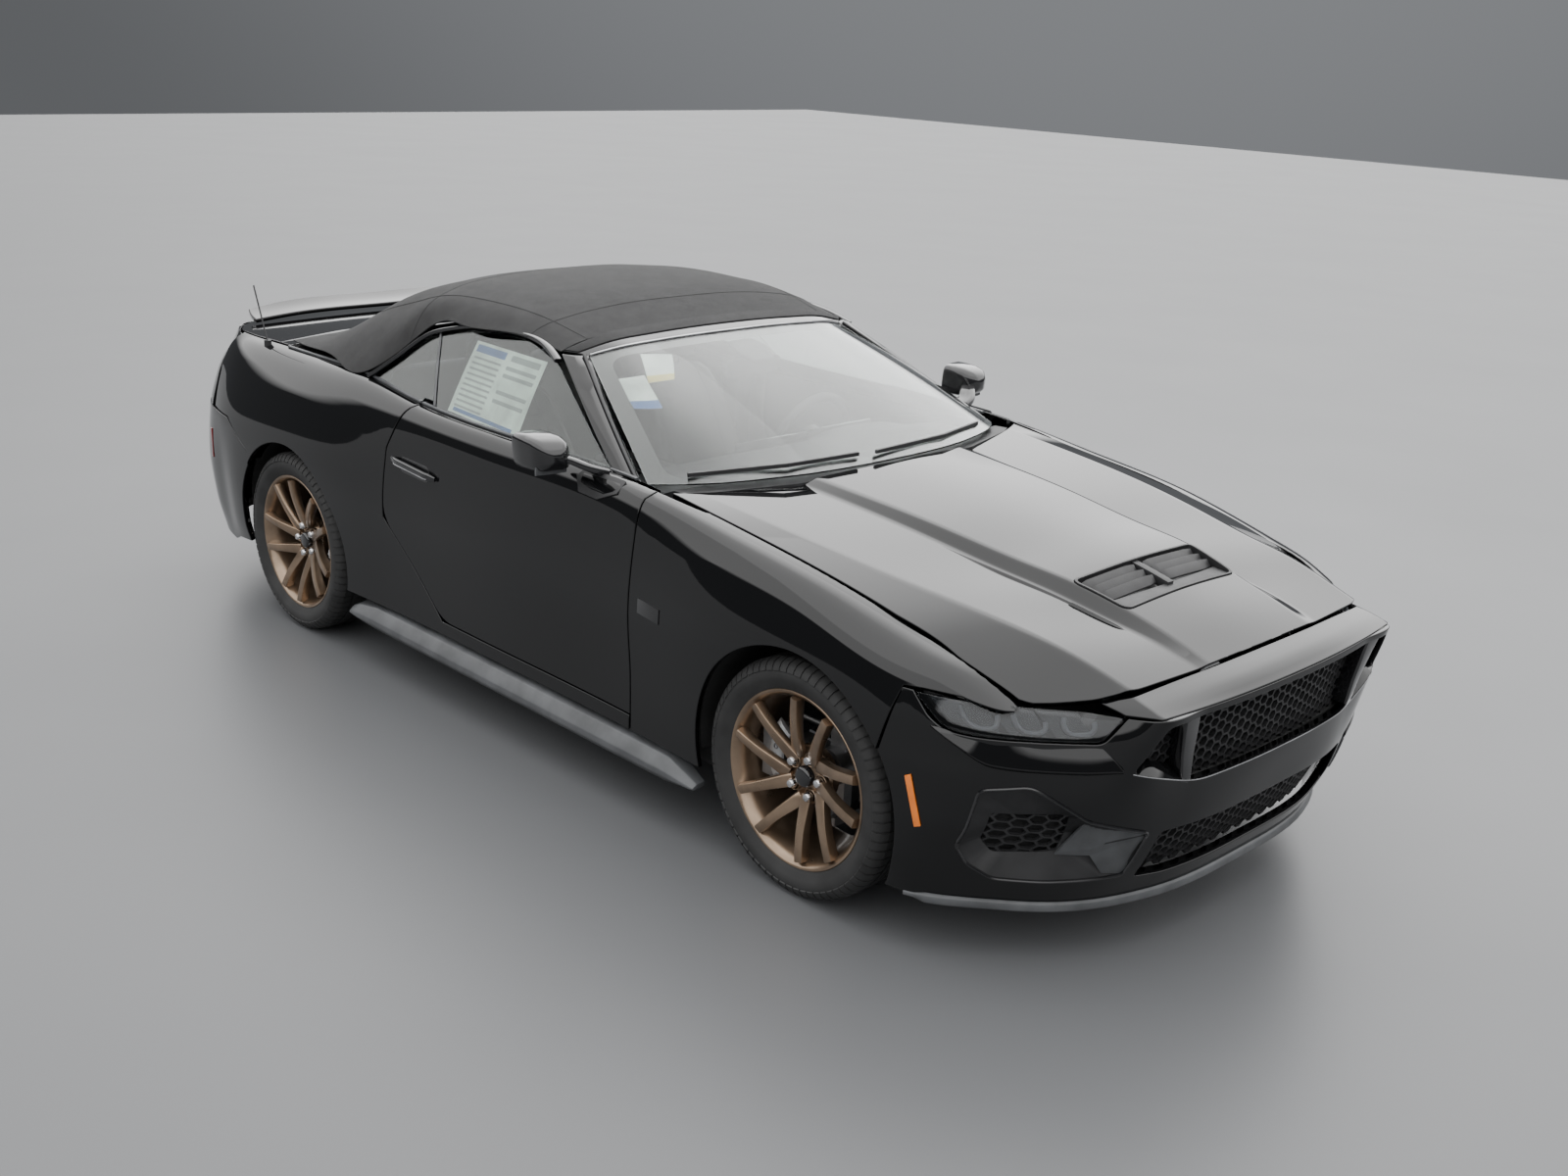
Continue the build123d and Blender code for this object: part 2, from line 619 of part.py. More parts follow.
# ---------------------------------------------------------------- rear end
def rear_bumper():
    shell = wrap_shell(TAIL, TAIL_SIDE_Y, 200, TAIL_SPLIT_Z, -1, BUMPER_WALL)
    shell = shell - box(-1200, 1200, 1600, TAIL_SEAM[1][0], 0, 1200)
    flank = side_shell(1500, TAIL_SEAM[1][0], BUMPER_WALL)
    flank = flank & prism_x([(1566, 200), *[(y + 1.5, z - 3) for y, z in TAIL_SEAM], (1771, 200)], 300, 1200)
    flank = flank - arch_hole(REAR_AXLE_Y) - box(300, 1200, 1400, 1800, 0, ROCKER_TOP_Z)
    tips = [rod((x, 2100, TIP_Z), (x, 2600, TIP_Z), TIP_R + 8) for x in TIP_X]
    tips += [box(x - TIP_R - 8, x + TIP_R + 8, 2100, 2600, 100, TIP_Z) for x in TIP_X]
    low = prism_y([(-330, 150), (-300, LOW_CUT_Z), (300, LOW_CUT_Z), (330, 150)], 2100, 2600)
    bumper = shell + flank + mirrored(flank) - low
    for tip in tips:
        bumper = bumper - tip - mirrored(tip)
    for x in (-PLATE_HOLE_PITCH / 2, PLATE_HOLE_PITCH / 2):
        bumper = bumper - rod((x, 2300, PLATE_HOLE_Z), (x, 2450, PLATE_HOLE_Z), PLATE_HOLE_R)
    bumper = biggest(bumper)
    save("rear_bumper", bumper)
    panel = wrap_shell(TAIL, TAIL_SIDE_Y, TAIL_SPLIT_Z + SEAT_GAP, 1000, -1, BUMPER_WALL)
    panel = panel & box(-559.5, 559.5, 1900, 2600, 0, 1200)
    left, right = (deck_zone(PANEL_GAP), mirrored(deck_zone(PANEL_GAP)))
    panel = panel - left - right
    lamps = wrap_shell(TAIL, TAIL_SIDE_Y, 780, 890, -1, BUMPER_WALL)
    for side in (both(box(LAMP_IN_X - LAMP_GAP, 559.5, 1900, 2600, 780 - LAMP_GAP, 890 + LAMP_GAP))):
        panel = panel - side
    save("tail_panel", biggest(panel))
    save("tail_lamps", both(biggest(lamps & box(LAMP_IN_X, 559, 1900, 2600, 0, 1200))))
    fins = [box(x - 6, x + 6, 2200, 2340, 190, 290) for x in (-210, -70, 70, 210)]
    tray = prism_x([(2180, 196), (2330, 226), (2364, LOW_CUT_Z - SEAT_GAP),
                    (2352, LOW_CUT_Z - SEAT_GAP), (2318, 240), (2180, 210)], -296, 296)
    save("rear_diffuser", fused([tray, *fins]))
    return bumper


def decklid():
    whole = crown_shell(DECK, 1552, 2275, LID_WALL)
    zone = deck_zone(0)
    whole = whole & (zone + mirrored(zone))
    lid = biggest(whole & box(-900, 900, LID_FRONT_Y, 2400, 800, 1200))
    deck = biggest(whole & box(-900, 900, 1400, LID_FRONT_Y - PANEL_GAP, 800, 1200))
    save("rear_deck", deck)
    plate = prism_x(LID_PLATE, LID_PLATE_X, LID_PLATE_X + HINGE_PLATE)
    lid = lid + plate + mirrored(plate)
    save("decklid", lid)
    blade = crown_shell(SPOILER, 2120, 2262, 18)
    posts = [box(x - 14, x + 14, 2150, 2210, 1000, 1060) for x in (-420, 0, 420)]
    save("rear_spoiler", biggest(fused([blade, *posts]) - lid - box(-900, 900, 2000, 2300, 900, 1024)))


# ---------------------------------------------------------------- greenhouse
def both_rows(row):
    """A half row of points mirrored into a whole one."""
    return [(-x, y, z) for x, y, z in reversed(row)][:-1] + list(row)


def loft_strip(low, top, wall, grow=0.0):
    """A curved slab between a lower and an upper row of points, thick downwards."""
    slabs = []
    for index in range(len(low) - 1):
        corners = [low[index], low[index + 1], top[index + 1], top[index]]
        upper = [(x, y, z + grow) for x, y, z in corners]
        lower = [(x, y, z - wall) for x, y, z in corners]
        slabs.append(patch_slab(upper, lower))
    return fused(slabs)


def patch_slab(upper, lower):
    """A solid between two four-cornered patches, every side cut into two triangles."""
    faces = []
    for a, b, c in ((0, 1, 2), (0, 2, 3)):
        faces.append(Face(ring([upper[a], upper[b], upper[c]])))
        faces.append(Face(ring([lower[a], lower[c], lower[b]])))
    for a, b in ((0, 1), (1, 2), (2, 3), (3, 0)):
        faces.append(Face(ring([upper[a], lower[a], upper[b]])))
        faces.append(Face(ring([upper[b], lower[a], lower[b]])))
    return Solid(Shell(faces))


def screen():
    glass = loft_strip(both_rows(SCREEN_LOW), both_rows(SCREEN_TOP), 8)
    save("windshield", glass)
    header = loft_strip(both_rows(SCREEN_TOP), both_rows(HEADER_REAR), 26)
    pillar = fused([patch_slab(upper, lower) for upper, lower in zip(PILLAR, PILLAR[1:])])
    frame = biggest(fused([header, pillar, mirrored(pillar)]) - glass)
    save("windshield_frame", frame)
    return frame


def soft_top(glass):
    shell = crown_shell(TOP, -45, 1545, TOP_WALL)
    side = [(-600, 900), (-300, 1240), (-76, 1243), (130, 1286), (450, 1270), (648, 1220), (888, 1040), (886, 900)]
    shell = shell - prism_x(side, -1200, 1200) - glass - mirrored(glass)
    shell = shell - box(-1000, 1000, -100, 1600, 900, TOP_FOOT_Z)
    rear = prism_z(REAR_PANE, 1000, 1400)
    pane = prism_z([(x * 0.998, 1316 + (y - 1316) * 0.994) for x, y in REAR_PANE], 1000, 1400)
    save("soft_top", biggest(shell - rear))
    save("rear_window", biggest(shell & pane))


# ---------------------------------------------------------------- structure and cabin
def structure(quarter, door_space, glass, lamp, bumper):
    front = FIREWALL_Y + SEAT_GAP
    pan = [
        (front, FLOOR_Z), (800, FLOOR_Z), (800, 310), (1000, 310), (1000, 420), (2200, 420),
        (2200, 440), (980, 440), (980, 330), (780, 330), (780, FLOOR_Z + FLOOR_WALL),
        (front, FLOOR_Z + FLOOR_WALL),
    ]
    floor = prism_x(pan, -636, 636)
    wing_x = FIREWALL_HALF - SEAT_GAP
    wings = box(-wing_x, wing_x, front, 780, FLOOR_Z, FLOOR_Z + FLOOR_WALL)
    tunnel = box(-150, 150, front, 700, FLOOR_Z + FLOOR_WALL, 400) - box(-128, 128, -690, 700, 100, 378)
    firewall = box(-FIREWALL_HALF, FIREWALL_HALF, FIREWALL_Y - FLOOR_WALL, FIREWALL_Y, FLOOR_Z, 940)
    sill = box(FIREWALL_HALF, 800, -1040, 856, FLOOR_Z, 296)
    rocker = box(800, 859.7, -712, 856, FLOOR_Z, 296)
    apost = box(735, 800, -735, -660, 296, 940)
    lock = box(742, 860, 612, 700, 296, 960)
    rail = box(420, 470, -2200, -712, 420, 520)
    top_rail = side_layer(-2040, -712, FENDER_WALL + SEAT_GAP, FENDER_WALL + 26, 2)
    side_rail = side_layer(640, 1840, QUARTER_WALL + SEAT_GAP, QUARTER_WALL + 22, 2)
    shelf = fused([
        box(0, 760, 1500, 1546, 930, 1010), box(0, 700, 1546, 1556, 930, 1010),
        under(box(0, 700, 1554, 1600, 930, 1100), DECK, LID_WALL),
        box(600, 738, 1500, 1545, 1010, TOP_FOOT_Z - SEAT_GAP),
    ])
    tower = box(400, 470, -1560, -1350, 520, 800) + box(470, 580, -1500, -1411, 640, 660)
    support = box(0, 740, -2060, -2030, 520, 700) + box(700, 740, -2060, -2030, 520, 690)
    support = support + under(post(600, -2045, STOP_R, 690, 1000), HOOD, HOOD_WALL)
    lamp_shelf = box(560, 720, -2140, -2030, 620, 640)
    arms = []
    for z in HINGE_HEIGHTS:
        low, high = z - HINGE_HALF, z + HINGE_HALF
        arm = box(780, DOOR_HINGE_X, DOOR_HINGE_Y - 9, DOOR_HINGE_Y + 9, low, high)
        arms.append(arm + post(DOOR_HINGE_X, DOOR_HINGE_Y, HINGE_KNUCKLE_R, low, high))
    swing_r = math.hypot(DOOR_HINGE_X - DOOR_IN_X, DOOR_EDGE_R) + PANEL_GAP
    swing = post(DOOR_HINGE_X, DOOR_HINGE_Y, swing_r, DOOR_BOTTOM_Z - PANEL_GAP, 1100)
    panels = fused([sill, rocker, apost, lock, side_rail, shelf, top_rail])
    post_half = panels - door_space - swing - quarter - glass
    half = fused([post_half, rail, tower, support, lamp_shelf, *arms]) - lamp - bumper
    half = half - post(DOOR_HINGE_X, DOOR_HINGE_Y, HINGE_PIN_R + SPINDLE_PLAY, 300, 900)
    carrier = wrap_shell(NOSE, NOSE_SIDE_Y, 425, 515, 1, 170, BUMPER_WALL + SEAT_GAP)
    carrier = carrier & box(-470, 470, -2600, -2000, 400, 600)
    tail_beam = wrap_shell(TAIL, TAIL_SIDE_Y, 500, 600, -1, 170, BUMPER_WALL + SEAT_GAP)
    tail_beam = tail_beam & box(-470, 470, 2000, 2600, 400, 700)
    tail_wall = box(-540, 540, 2180, 2200, 430, 960)
    stop = under(post(400, 2190, STOP_R - 2, 950, 1100), DECK, LID_WALL)
    stops = [stop, mirrored(stop)]
    save("floor_pan", biggest(fused([floor, wings, tunnel, tail_wall, tail_beam, *stops])))
    save("floor_structure", biggest(fused([firewall, half, mirrored(half), carrier])))


def cowl():
    tray = prism_x([(-960, 968), (-960, 982), (-744, 972), (-690, 950), (-744, 940)], -742, 742)
    left, right = hood_plan(PANEL_GAP)
    tray = tray - prism_z([*right, *left], 900, 1100)
    save("cowl_panel", biggest(tray))


def wheel(axle_y, half_track, turn):
    """One left wheel: rim barrel, ten spokes in pairs, hub, disc and lug nuts."""
    x_in, x_out = half_track - 122, half_track + 112

    def drum(radius, start, end):
        return disc_x(axle_y, TYRE_R, radius, start, end)

    def band(outer, inner, start, end):
        return drum(outer, start, end) - drum(inner, start, end)

    pieces = [
        band(RIM_R - 8, RIM_R - 18, x_in, x_out),
        band(RIM_R + RIM_FLANGE, RIM_R - 18, x_out - 8, x_out),
        band(RIM_R + RIM_FLANGE, RIM_R - 18, x_in, x_in + 8),
        drum(76, half_track + 40, half_track + 78),
        drum(32, half_track + 78, half_track + 88),
        drum(80, half_track - 20, half_track + 40),
        drum(DISC_R, half_track - 20, half_track - 20 + DISC_WALL),
        drum(SPINDLE_R, half_track - 60, half_track - 20),
    ]
    for pair in range(SPOKE_PAIRS):
        for side in (-1, 1):
            middle = turn + pair * 360 / SPOKE_PAIRS
            root, tip = math.radians(middle + side * 26), math.radians(middle + side * 15)
            start = (half_track + 62, axle_y + 66 * math.cos(root), TYRE_R + 66 * math.sin(root))
            reach = RIM_R - 14
            end = (x_out - 16, axle_y + reach * math.cos(tip), TYRE_R + reach * math.sin(tip))
            pieces.append(spoke(start, end))
    for lug in range(LUG_COUNT):
        way = math.radians(turn + lug * 360 / LUG_COUNT)
        y, z = axle_y + LUG_PCD_R * math.cos(way), TYRE_R + LUG_PCD_R * math.sin(way)
        pieces.append(disc_x(y, z, LUG_R, half_track + 70, half_track + 92))
    return fused(pieces)


def spoke(start, end):
    """A tapering bar from the hub to the rim, deeper at the hub."""
    way = (Vector(*end) - Vector(*start)).normalized()
    across = Vector(1, 0, 0).cross(way).normalized()
    rings = []
    for place, wide, deep in ((start, 15, 40), (end, 11, 26)):
        middle = Vector(*place)
        back = middle - Vector(deep, 0, 0)
        rings.append([
            tuple(middle + across * wide), tuple(back + across * wide),
            tuple(back - across * wide), tuple(middle - across * wide)])
    return loft(rings)


def tyre(axle_y, half_track):
    """A tyre turned from a section of bead, sidewall, shoulder and tread."""
    half = TYRE_WIDTH / 2
    bead = RIM_R + RIM_FLANGE + 0.5
    seat = RIM_R - 7.5
    outer = [(half - 24, seat), (half - 24, bead), (half - 4, 275), (half, 300), (half - 8, 330), (half - 26, TYRE_R)]
    inner = [(-half + 26, TYRE_R), (-half + 8, 330), (-half, 300), (-half + 4, 275), (-half + 14, bead), (-half + 14, seat)]
    points = [(half_track + x, axle_y, TYRE_R + r) for x, r in [*outer, *inner]]
    axis = Axis((half_track, axle_y, TYRE_R), (1, 0, 0))
    return Solid.revolve(Face(ring(points)), 360, axis)


def wheels():
    for place, axle_y, half_track, turn in (
        ("front", FRONT_AXLE_Y, FRONT_TRACK_HALF, FRONT_SPOKE_TURN),
        ("rear", REAR_AXLE_Y, REAR_TRACK_HALF, REAR_SPOKE_TURN),
    ):
        save_pair("wheel_" + place, wheel(axle_y, half_track, turn))
        save_pair("tyre_" + place, tyre(axle_y, half_track))


def hub_carrier(axle_y, half_track, side, ear_x):
    """Hub, upright and caliper of one left wheel; side is -1 for a caliper ahead."""
    hub = disc_x(axle_y, TYRE_R, 55, half_track - 91, half_track - 20 - SEAT_GAP)
    upright = box(half_track - 91, half_track - 59, axle_y - 30, axle_y + 30, 190, 500)
    reach = sorted((axle_y + side * 120, axle_y + side * 205))
    caliper = box(half_track - 40, half_track + 34, *reach, TYRE_R - 70, TYRE_R + 70)
    caliper = caliper - disc_x(axle_y, TYRE_R, DISC_R + 5, half_track - 25, half_track + 17)
    bridge = box(half_track - 91, half_track - 36, axle_y, axle_y + side * 150, TYRE_R - 40, TYRE_R + 40)
    low = box(half_track - 91, ear_x, axle_y - 14, axle_y + 14, 190, 200)
    high = box(half_track - 91, ear_x, axle_y - 14, axle_y + 14, 490, 500)
    bore = disc_x(axle_y, TYRE_R, SPINDLE_R + SPINDLE_PLAY, half_track - 120, half_track)
    return fused([hub, upright, caliper, bridge, low, high]) - bore


def running_gear():
    y = FRONT_AXLE_Y
    carrier = hub_carrier(y, FRONT_TRACK_HALF, 1, KINGPIN_X + 12)
    for z in (180, 480):
        carrier = carrier - post(KINGPIN_X, y, KINGPIN_R + SPINDLE_PLAY, z, z + 30)
    save_pair("knuckle", carrier)
    cross = box(-470, 470, y - 60, y + 60, 180, 250)
    low_arm = beam((460, y, 177), (ARM_END_X, y, 177), 44, 25) + post(KINGPIN_X, y, KINGPIN_R, 170, 198)
    high_arm = beam((470 + SEAT_GAP, y, 512), (ARM_END_X, y, 512), 36, 23) + post(KINGPIN_X, y, KINGPIN_R, 492, 515)
    side = box(380, 420, y - 300, y + 420, 160, 220)
    riser = box(425, 465, y - 58, y + 58, 240, 420)
    strut = rod((600, y, 180), (535, y, 640), 26)
    half = fused([low_arm, high_arm, side, riser, strut]) - box(470, 590, y - 60, y + 60, 640, 700)
    save("front_subframe", fused([cross, half, mirrored(half)]))
    engine = box(-260, 260, -1980, -1180, 250, 780) + box(-120, 120, -1180, -720, 262, 500)
    save("engine_block", engine)
    y, r = REAR_AXLE_Y, REAR_TRACK_HALF
    carrier = hub_carrier(y, r, -1, r - 50)
    shaft = rod((0, y, TYRE_R), (r - 61, y, TYRE_R), 16)
    diff = box(-130, 130, y - 150, y + 150, 248, 413)
    frame = box(-520, 520, y - 260, y - 200, 240, 300)
    link = box(-60, 60, y - 260, y - 140, 255, 300)
    arm = beam((500, y - 230, 270), (r - 75, y, 270), 46, 40)
    riser = box(460, 520, y - 258, y - 202, 300, 420)
    half = [carrier, arm, riser, shaft]
    save("rear_axle", fused([diff, frame, link, *half, *[mirrored(piece) for piece in half]]))


def exhaust():
    pipe = rod((250, -1100, PIPE_Z), (250, 1900, PIPE_Z), 28)
    muffler = box(330, 610, 1900, 2140, 200, 350)
    tips = [
        rod((x, 2130, TIP_Z), (x, TIP_END_Y, TIP_Z), TIP_R)
        - rod((x, 2145, TIP_Z), (x, TIP_END_Y + 10, TIP_Z), TIP_R - 5)
        for x in TIP_X
    ]
    join = rod((250, 1880, PIPE_Z), (400, 1960, 240), 26)
    hangers = [box(245, 255, y, y + 20, PIPE_Z, FLOOR_Z - SEAT_GAP) for y in (-300, 300)]
    strap = box(440, 480, 2000, 2020, 340, 420 - SEAT_GAP)
    save("exhaust", both(fused([pipe, join, muffler, *tips, *hangers, strap])))


def liners(fender, quarter, bumper, tail):
    pieces = []
    for axle_y, x0, skin in ((FRONT_AXLE_Y, 474, fender), (REAR_AXLE_Y, 640, quarter)):
        drum = disc_x(axle_y, TYRE_R, LINER_R + LINER_WALL, x0, 915)
        drum = drum - disc_x(axle_y, TYRE_R, LINER_R, x0 + LINER_WALL, 1000)
        drum = drum - box(0, 1200, axle_y - 600, axle_y + 600, 0, 300)
        drum = drum - disc_x(axle_y, TYRE_R, 190, 0, 660) - box(0, 660, axle_y - 120, axle_y + 120, 0, 700)
        drum = drum - skin - bumper - tail
        pieces.extend(both(biggest(drum)))
    save("wheel_arch_liners", pieces)


def cabin():
    column_start, column_end = Vector(380, -420, 780), Vector(380, -180, 850)
    way = (column_end - column_start).normalized()
    dash = loft([
        [(-732, y, z0), (732, y, z0), (732, y, z1), (-732, y, z1)]
        for y, z0, z1 in ((-690, 700, 935), (-420, 680, 960), (-330, 760, 930))
    ])
    save("dashboard", dash - rod(tuple(column_start), tuple(column_end), 26 + SEAT_GAP))
    back = column_end - way * 15
    boss = Solid.make_cylinder(60, 30, Plane(origin=back, z_dir=way))
    spokes = Solid.make_cylinder(178, 14, Plane(origin=back, z_dir=way)) & box(0, 900, -900, 900, 826, 874)
    rim = Solid.make_torus(178, 16, Plane(origin=column_end, z_dir=way))
    save("steering_wheel", fused([rod(tuple(column_start), tuple(column_end), 26), rim, spokes, boss]))
    seats = []
    for x in (-SEAT_X, SEAT_X):
        base = box(x - 190, x + 190, 0, 420, FLOOR_Z + FLOOR_WALL, 330)
        cushion = box(x - 240, x + 240, -60, 470, 330, 470)
        rest = prism_x([(400, 470), (540, 470), (690, 1010), (590, 1030)], x - 235, x + 235)
        head = prism_x([(598, 1020), (684, 1000), (720, 1180), (650, 1195)], x - 130, x + 130)
        seats.append(fused([base, cushion, rest, head]))
    save("front_seats", seats)
    rear = prism_x([(720, 331), (1100, 441), (1100, 660), (1230, 1000), (1140, 1010), (1010, 560), (720, 540)], -600, 600)
    pan = box(-700, 700, 700, 980, 0, 331) + box(-700, 700, 970, 1300, 0, 441)
    save("rear_seat", rear - pan)
    save("centre_console", box(-120, 120, -330, 560, 400, 600) + box(-120, 120, -420, -330, 400, 680))


def small_pieces(quarter, glass_solid):
    skirt = prism_y([(860, SILL_Z), (925, SILL_Z - 10), (938, 208), (906, 250), (860, 250)], -1066, 872)
    save("side_skirts", both(biggest(skirt - arch_hole(REAR_AXLE_Y) - arch_hole(FRONT_AXLE_Y))))
    wipers = []
    for row in WIPERS:
        rods = [beam(start, end, 9, 12) for start, end in zip(row, row[1:])]
        wipers.append(fused(rods) - glass_solid)
    save("wipers", [biggest(piece) for piece in wipers])
    base = post(780, ANTENNA_Y, 14, 1005, 1040)
    mast = rod((780, ANTENNA_Y, 1030), (780, ANTENNA_Y + 90, 1240), 3)
    save("antenna", mirrored(biggest((base + mast) - quarter)))


# ---------------------------------------------------------------- build and write
def main():
    glass = glass_sheet(0.5) & prism_x(offset_zone(WINDOW, -1), 300, 1200)
    fender = fenders()
    quarter = quarters(glass)
    door = doors(glass)
    door_space = door_block(DOOR_IN_X - DOOR_CLEAR) & door_zone(PANEL_GAP)
    side_glass()
    mirrors(door)
    hood()
    bumper, lamp = front_bumper()
    grilles()
    splitter()
    tail = rear_bumper()
    decklid()
    screen()
    soft_top(glass)
    structure(quarter, door_space, glass, lamp, bumper)
    cowl()
    wheels()
    running_gear()
    exhaust()
    liners(fender, quarter, bumper, tail)
    cabin()
    small_pieces(quarter, NODES["windshield"])
    os.makedirs(PARTS, exist_ok=True)
    for name, shape in NODES.items():
        export_step(shape, os.path.join(PARTS, name + ".step"))


main()
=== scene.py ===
import json
import math

import bmesh
import bpy
import numpy as np
from mathutils import Matrix, Vector
from mathutils.geometry import delaunay_2d_cdt

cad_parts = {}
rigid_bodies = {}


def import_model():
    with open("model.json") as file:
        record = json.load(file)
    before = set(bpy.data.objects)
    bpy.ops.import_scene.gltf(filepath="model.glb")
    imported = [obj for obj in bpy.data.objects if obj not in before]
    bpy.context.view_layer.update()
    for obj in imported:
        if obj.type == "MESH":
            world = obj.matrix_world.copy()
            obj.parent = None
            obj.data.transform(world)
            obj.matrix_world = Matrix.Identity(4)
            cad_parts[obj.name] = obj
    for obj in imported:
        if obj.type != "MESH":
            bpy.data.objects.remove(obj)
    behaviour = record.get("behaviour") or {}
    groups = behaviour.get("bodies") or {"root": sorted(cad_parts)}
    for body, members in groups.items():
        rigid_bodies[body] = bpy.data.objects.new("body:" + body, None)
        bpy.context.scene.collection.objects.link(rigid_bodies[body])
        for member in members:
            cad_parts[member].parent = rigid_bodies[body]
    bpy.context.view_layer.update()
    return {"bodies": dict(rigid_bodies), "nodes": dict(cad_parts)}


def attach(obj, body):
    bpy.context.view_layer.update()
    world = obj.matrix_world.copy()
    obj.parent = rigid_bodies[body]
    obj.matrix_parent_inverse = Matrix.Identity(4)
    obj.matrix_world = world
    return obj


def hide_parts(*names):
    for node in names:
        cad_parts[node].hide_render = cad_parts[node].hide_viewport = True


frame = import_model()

# A two-door convertible muscle car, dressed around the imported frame. Tables are in
# millimetres in the frame's own axes: nose towards -Y, the car's left towards +X.
MM = 0.001

# ---------------------------------------------------------------- body tables
FRONT_AXLE_Y = -1455.5
REAR_AXLE_Y = 1263.5
AXLE_Z = 343.0
FRONT_TRACK_HALF = 791.0
REAR_TRACK_HALF = 805.0
ARCH_R = 386.0
DOOR_IN_X = 798.0
DOOR_HINGE_Y = -698.0
DOOR_EDGE_R = 50.0
DOOR_BOTTOM_Z = 303.0
ROCKER_TOP_Z = 252.0
ROCKER_FRONT_Y = -744.0
QUARTER_REAR_Y = 1981.0
GAP = 5.0
BOTH = (1, -1)
TYRE_WIDTH = 255.0
TREAD_R = 343.0
SPOKE_ROOT_R, SPOKE_TIP_R = 58.0, 238.0
NUT_CIRCLE_R = 57.0
CALIPER_R, CALIPER_HALF_TURN, CALIPER_PITCH = 152.0, 0.62, 0.2

# Body side, left: y, then (x, z) of edge, crest, shoulder, wide, low, sill.
SIDE = (
    (-2085, ((749, 722), (793, 716), (832, 703), (848, 660), (850, 600), (850, 540))),
    (-1970, ((770, 779), (816, 768), (852, 742), (886, 660), (895, 560), (896, 400))),
    (-1825, ((773, 818), (836, 806), (893, 762), (922, 660), (930, 520), (925, 240))),
    (-1455, ((788, 899), (848, 890), (908, 842), (944, 700), (948, 560), (930, 240))),
    (-1095, ((789, 946), (850, 936), (902, 872), (940, 690), (932, 480), (918, 240))),
    (-740, ((791, 984), (848, 978), (893, 880), (918, 640), (906, 430), (905, 240))),
    (-60, ((808, 1000), (850, 990), (893, 872), (915, 640), (903, 430), (902, 240))),
    (600, ((800, 1014), (848, 1003), (900, 880), (926, 650), (910, 430), (905, 240))),
    (930, ((776, 1038), (824, 1026), (906, 905), (948, 680), (935, 450), (922, 240))),
    (1263, ((762, 1036), (815, 1020), (905, 915), (957, 690), (955, 520), (930, 240))),
    (1600, ((752, 1030), (804, 1014), (890, 905), (948, 690), (940, 450), (912, 240))),
    (1860, ((738, 1022), (782, 1006), (855, 900), (914, 690), (906, 450), (872, 240))),
    (2060, ((706, 1014), (738, 996), (806, 892), (852, 690), (850, 460), (815, 260))),
)
# Hood, half: y, then (x, z) of centre, dome edge, dome foot, crease, edge.
HOOD = (
    (-760, ((0, 1012), (345, 1003), (395, 986), (716, 984), (785, 986))),
    (-1095, ((0, 990), (330, 980), (376, 958), (704, 958), (783, 948))),
    (-1409, ((0, 962), (315, 952), (355, 924), (682, 926), (781, 907))),
    (-1677, ((0, 930), (298, 919), (332, 886), (640, 892), (777, 860))),
    (-1858, ((0, 908), (286, 900), (322, 866), (606, 868), (766, 814))),
    (-2032, ((0, 869), (262, 860), (302, 832), (586, 842), (764, 752))),
    (-2150, ((0, 836), (252, 828), (296, 812), (570, 812), (706, 735))),
    (-2300, ((0, 780), (245, 778), (290, 774), (555, 766), (645, 722))),
)
HOOD_FRONT_SEAM = ((0, -2288), (250, -2284), (555, -2262), (627, -2210), (699, -2137), (748, -2084))
HOOD_REAR_SEAM = ((0, -958), (400, -925), (680, -835), (790, -772))
# Nose: z, then (x, y) of centre, grille corner, nostril, lamp root, inner, corner, shoulder, turn,
# flank, end.
NOSE = (
    (172, ((0, -2300), (390, -2268), (560, -2205), (636, -2158), (694, -2108),
           (748, -2050), (806, -1985), (850, -1930), (884, -1868), (900, -1770))),
    (300, ((0, -2345), (390, -2318), (570, -2262), (648, -2212), (708, -2162),
           (764, -2100), (820, -2030), (862, -1965), (908, -1870), (928, -1770))),
    (420, ((0, -2372), (390, -2348), (580, -2292), (655, -2248), (716, -2198),
           (774, -2134), (832, -2058), (876, -1985), (914, -1870), (932, -1770))),
    (540, ((0, -2392), (390, -2362), (590, -2316), (655, -2270), (715, -2216),
           (776, -2148), (834, -2066), (880, -1985), (914, -1874), (932, -1770))),
    (600, ((0, -2396), (390, -2368), (594, -2326), (652, -2272), (712, -2216),
           (774, -2148), (832, -2066), (876, -1985), (910, -1876), (930, -1770))),
    (663, ((0, -2400), (390, -2378), (588, -2340), (645, -2268), (705, -2207),
           (768, -2140), (828, -2065), (872, -1985), (905, -1878), (926, -1770))),
    (737, ((0, -2403), (390, -2386), (563, -2366), (600, -2288), (632, -2212),
           (702, -2138), (766, -2070), (832, -1990), (893, -1865), (908, -1770))),
)
NOSE_SEAM = ((-1822, 742), (-1778, 560))
